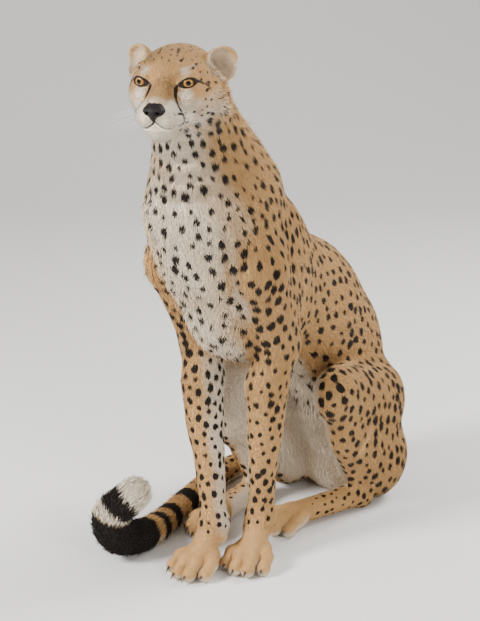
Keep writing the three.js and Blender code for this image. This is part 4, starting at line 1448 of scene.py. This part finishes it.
# %% Eye colours
EYE_COLOURS = [  # each at an angle from the gaze, 1 is 90 degrees
    (0.0, (0.0015, 0.0015, 0.0015)), (0.128, (0.0015, 0.0015, 0.0015)), (0.142, (0.20, 0.08, 0.014)),
    (0.19, (0.60, 0.29, 0.055)), (0.265, (0.38, 0.16, 0.028)), (0.325, (0.11, 0.04, 0.01)),
    (0.35, (0.012, 0.006, 0.004)), (0.42, (0.10, 0.06, 0.04)),
]
eye_paint = new_paint("amber eye", (0.4, 0.2, 0.05), {
    "Roughness": 0.3, "Coat Weight": 0.6, "Coat Roughness": 0.03, "Specular IOR Level": 0.05})
off_gaze = add_node(eye_paint, "Attribute", {}, attribute_name="off_gaze")
eye_ramp = add_node(eye_paint, "ValToRGB", {})
for _ in EYE_COLOURS[2:]:
    eye_ramp.color_ramp.elements.new(0.5)
for element, (position, colour) in zip(eye_ramp.color_ramp.elements, EYE_COLOURS):
    element.position = position
    element.color = (*colour, 1)
round_gaze = add_node(eye_paint, "Attribute", {}, attribute_name="round_gaze")
streaks = add_node(eye_paint, "TexNoise", {"Scale": 16, "Detail": 4})
streak_mix = add_node(eye_paint, "Mix", {"Factor": 0.75}, data_type="RGBA", blend_type="MULTIPLY")
wire(off_gaze, "Fac", eye_ramp, "Fac")
wire(round_gaze, "Vector", streaks, "Vector")
wire(eye_ramp, "Color", streak_mix, "A")
wire(streaks, "Fac", streak_mix, "B")
wire(streak_mix, "Result", shader_of(eye_paint), "Base Color")

# %% Eyeballs
for side, spot in EYE_GAZE.items():
    deselect()
    bpy.ops.mesh.primitive_uv_sphere_add(segments=64, ring_count=48, radius=BALL_RADIUS * MM)
    ball = bpy.context.object
    ball.name = "eyeball_" + side
    bpy.ops.object.shade_smooth()
    own = read(ball.data.vertices, "co")
    own = np.stack([own[:, 0], -own[:, 2], own[:, 1]], axis=1)  # its pole looks forward
    angle = np.degrees(np.arccos(np.clip(-own[:, 1] / (BALL_RADIUS * MM), -1, 1)))
    bulge = 0.8 * MM * step_up(-angle, -32, -18)
    own *= (1 + bulge / (BALL_RADIUS * MM))[:, None]
    give(ball, "off_gaze", angle / 90)
    swirl = np.stack([own[:, 0], np.zeros(len(own)), own[:, 2]], axis=1)
    swirl_data = ball.data.attributes.new("round_gaze", "FLOAT_VECTOR", "POINT").data
    swirl_data.foreach_set("vector", unit(swirl).astype(np.float32).ravel())
    put_points(ball.data, own @ spot.turn.T + spot.origin)
    ball.data.materials.append(eye_paint)
    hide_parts("eye_" + side)
    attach(ball, "root")


# %% A tube along a closed or open line
def tube(name, line, radii, ways, closed, around=8):
    """A closed tube; ways are directions off the line, one at each stop."""
    count = len(line)
    along = np.roll(line, -1, axis=0) - np.roll(line, 1, axis=0)
    if not closed:
        along[0], along[-1] = line[1] - line[0], line[-1] - line[-2]
    along = unit(along)
    one = unit(flattened(ways, along))
    two = np.cross(along, one)
    angles = np.arange(around) * 2 * np.pi / around
    offsets = one[:, None] * np.cos(angles)[None, :, None] + two[:, None] * np.sin(angles)[None, :, None]
    points = (line[:, None] + offsets * np.asarray(radii)[:, None, None] * MM).reshape(-1, 3)
    faces = []
    for i in range(count if closed else count - 1):
        for k in range(around):
            n = (k + 1) % around
            j = (i + 1) % count
            faces += [(i * around + k, i * around + n, j * around + n),
                      (i * around + k, j * around + n, j * around + k)]
    if not closed:
        for k in range(1, around - 1):
            last = (count - 1) * around
            faces += [(0, k + 1, k), (last, last + k, last + k + 1)]
    return new_object(name, points, np.array(faces))


# %% Lid rims
lid_paint = new_paint("lid rim", (0.008, 0.006, 0.005), {"Roughness": 0.5, "Specular IOR Level": 0.25})
RIM_STOPS = 96
for side, spot in EYE_GAZE.items():
    turns = np.linspace(0, 2 * np.pi, RIM_STOPS, endpoint=False)
    across = LID_WIDE * np.sign(np.cos(turns)) * np.abs(np.cos(turns)) ** (2 / LID_POWER)
    high = np.where(np.sin(turns) > 0, LID_HIGH, LID_LOW)
    above = high * np.sign(np.sin(turns)) * np.abs(np.sin(turns)) ** (2 / LID_POWER)
    line = eye_place(side, across, above, np.full(RIM_STOPS, 18.5)[:, None])
    line = (line + np.roll(line, 1, axis=0) + np.roll(line, -1, axis=0)) / 3
    thick = 1.2 + 0.3 * np.sin(turns)
    rim = tube("lid_rim_" + side, line, thick, line - spot.origin, True)
    rim.data.materials.append(lid_paint)
    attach(rim, "root")
print("lid rims of", RIM_STOPS, "stops")

# %% [markdown]
# ## Nose, whiskers and claws
# The nose leather is a net over its own distance rule, with comma-shaped nostrils and a groove
# that runs down to the lip. Whiskers grow from the dark dots beside it. A cheetah's claws always
# show, since it can't sheathe them.

# %% Nose leather
NOSE_CELL = 0.0011
nose_middle = HEAD.place(80, 0, -36)
nose_points, nose_faces = net(nose_rule, nose_middle - 0.03, nose_middle + 0.03, NOSE_CELL)
nose_leather = new_object("nose_leather", nose_points, nose_faces)
nose_paint = new_paint("nose leather", (0.012, 0.0085, 0.008), {
    "Roughness": 0.55, "Specular IOR Level": 0.18})
nose_place = add_node(nose_paint, "TexCoord", {})
pebbles = add_node(nose_paint, "TexVoronoi", {"Scale": 900})
nose_bump = add_node(nose_paint, "Bump", {"Strength": 0.7, "Distance": 0.0004})
wire(nose_place, "Object", pebbles, "Vector")
wire(pebbles, "Distance", nose_bump, "Height")
wire(nose_bump, "Normal", shader_of(nose_paint), "Normal")
nose_leather.data.materials.append(nose_paint)
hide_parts("nose")
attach(nose_leather, "root")
print("nose leather", len(nose_faces), "faces")


# %% Whiskers and brow hairs
def joined(name, parts, paint):
    deselect()
    for part in parts:
        part.select_set(True)
    bpy.context.view_layer.objects.active = parts[0]
    bpy.ops.object.join()
    made = bpy.context.object
    made.name = name
    made.data.materials.append(paint)
    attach(made, "root")
    return made


whisker_paint = new_paint("whisker", (0.86, 0.82, 0.74), {"Roughness": 0.4})
hairs_made = []
brow_dots = [HEAD.place(f, s * l, 21) for f, l in ((15, 29), (11, 35)) for s in (1, -1)]
brow_roots = settle(np.array(brow_dots), skin_field, -0.0015)
for root in np.concatenate([whisker_dots, brow_roots]):
    ahead, left, up = HEAD.local(root[None])
    s = np.sign(left[0])
    if ahead[0] > 60 and chance.random() < 0.6:
        continue
    length = 30 + 1.5 * (62 - ahead[0]) if up[0] < 0 else 30
    turn = np.radians(60 + 16 * chance.random())
    rise = np.radians(34 if up[0] > 0 else -8 + 0.9 * (up[0] + 48))
    way = HEAD.turn @ at(np.cos(turn), s * np.sin(turn), rise) / MM
    steps = np.linspace(0, 1, 9)[:, None]
    droop = at(-0.22, 0, -0.2) / MM
    line = root + length * MM * (way * steps + droop * steps**2)
    radii = 0.2 * (1 - 0.85 * steps[:, 0])
    hairs_made.append(tube("whisker", line, radii, np.tile([0.0, 0, 1], (9, 1)), False, 5))
joined("whiskers", hairs_made, whisker_paint)
print(len(hairs_made), "whiskers and brow hairs")

# %% Claws
claw_paint = new_paint("claw horn", (0.055, 0.038, 0.028), {
    "Roughness": 0.3, "Coat Weight": 0.4, "Coat Roughness": 0.03})
CLAW_LENGTH = 20
CLAW_BEND = 62  # degrees from root to tip, which is 1.08 radians


def claw(spot, reach, left):
    """One claw: a tapered tube that curves down."""
    steps = np.linspace(0, 1, 12)
    bend = np.radians(CLAW_BEND) * steps
    forward = reach - 8 + CLAW_LENGTH * np.sin(bend) / 1.08
    up = 17.5 - CLAW_LENGTH * (1 - np.cos(bend)) / 1.08
    line = np.array([spot.place(f, left, u) for f, u in zip(forward, up)])
    radii = 3.1 * (1 - steps) ** 0.75 + 0.25
    ways = np.tile(spot.turn @ np.array([1.0, 0, 0]), (12, 1))
    return tube("claw", line, radii, ways, False, 10)


for name, feet, size, ahead in [
    ("forepaw", FORELEGS, FORE_PAW, 0),
    ("hindpaw", HINDLEGS, HIND_PAW, FOOT_LENGTH),
]:
    for side, leg in feet.items():
        toes = Spot(leg.foot.place(ahead, 0, 0), leg.foot.turn)
        parts = [claw(toes, reach, left) for reach, left, _ in toe_places(size)]
        claws = joined("claws_%s_%s" % (name, side), parts, claw_paint)
        for k in range(1, 5):
            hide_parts("claw_%s_%s_%d" % (name, side, k))
print("claws on four feet")
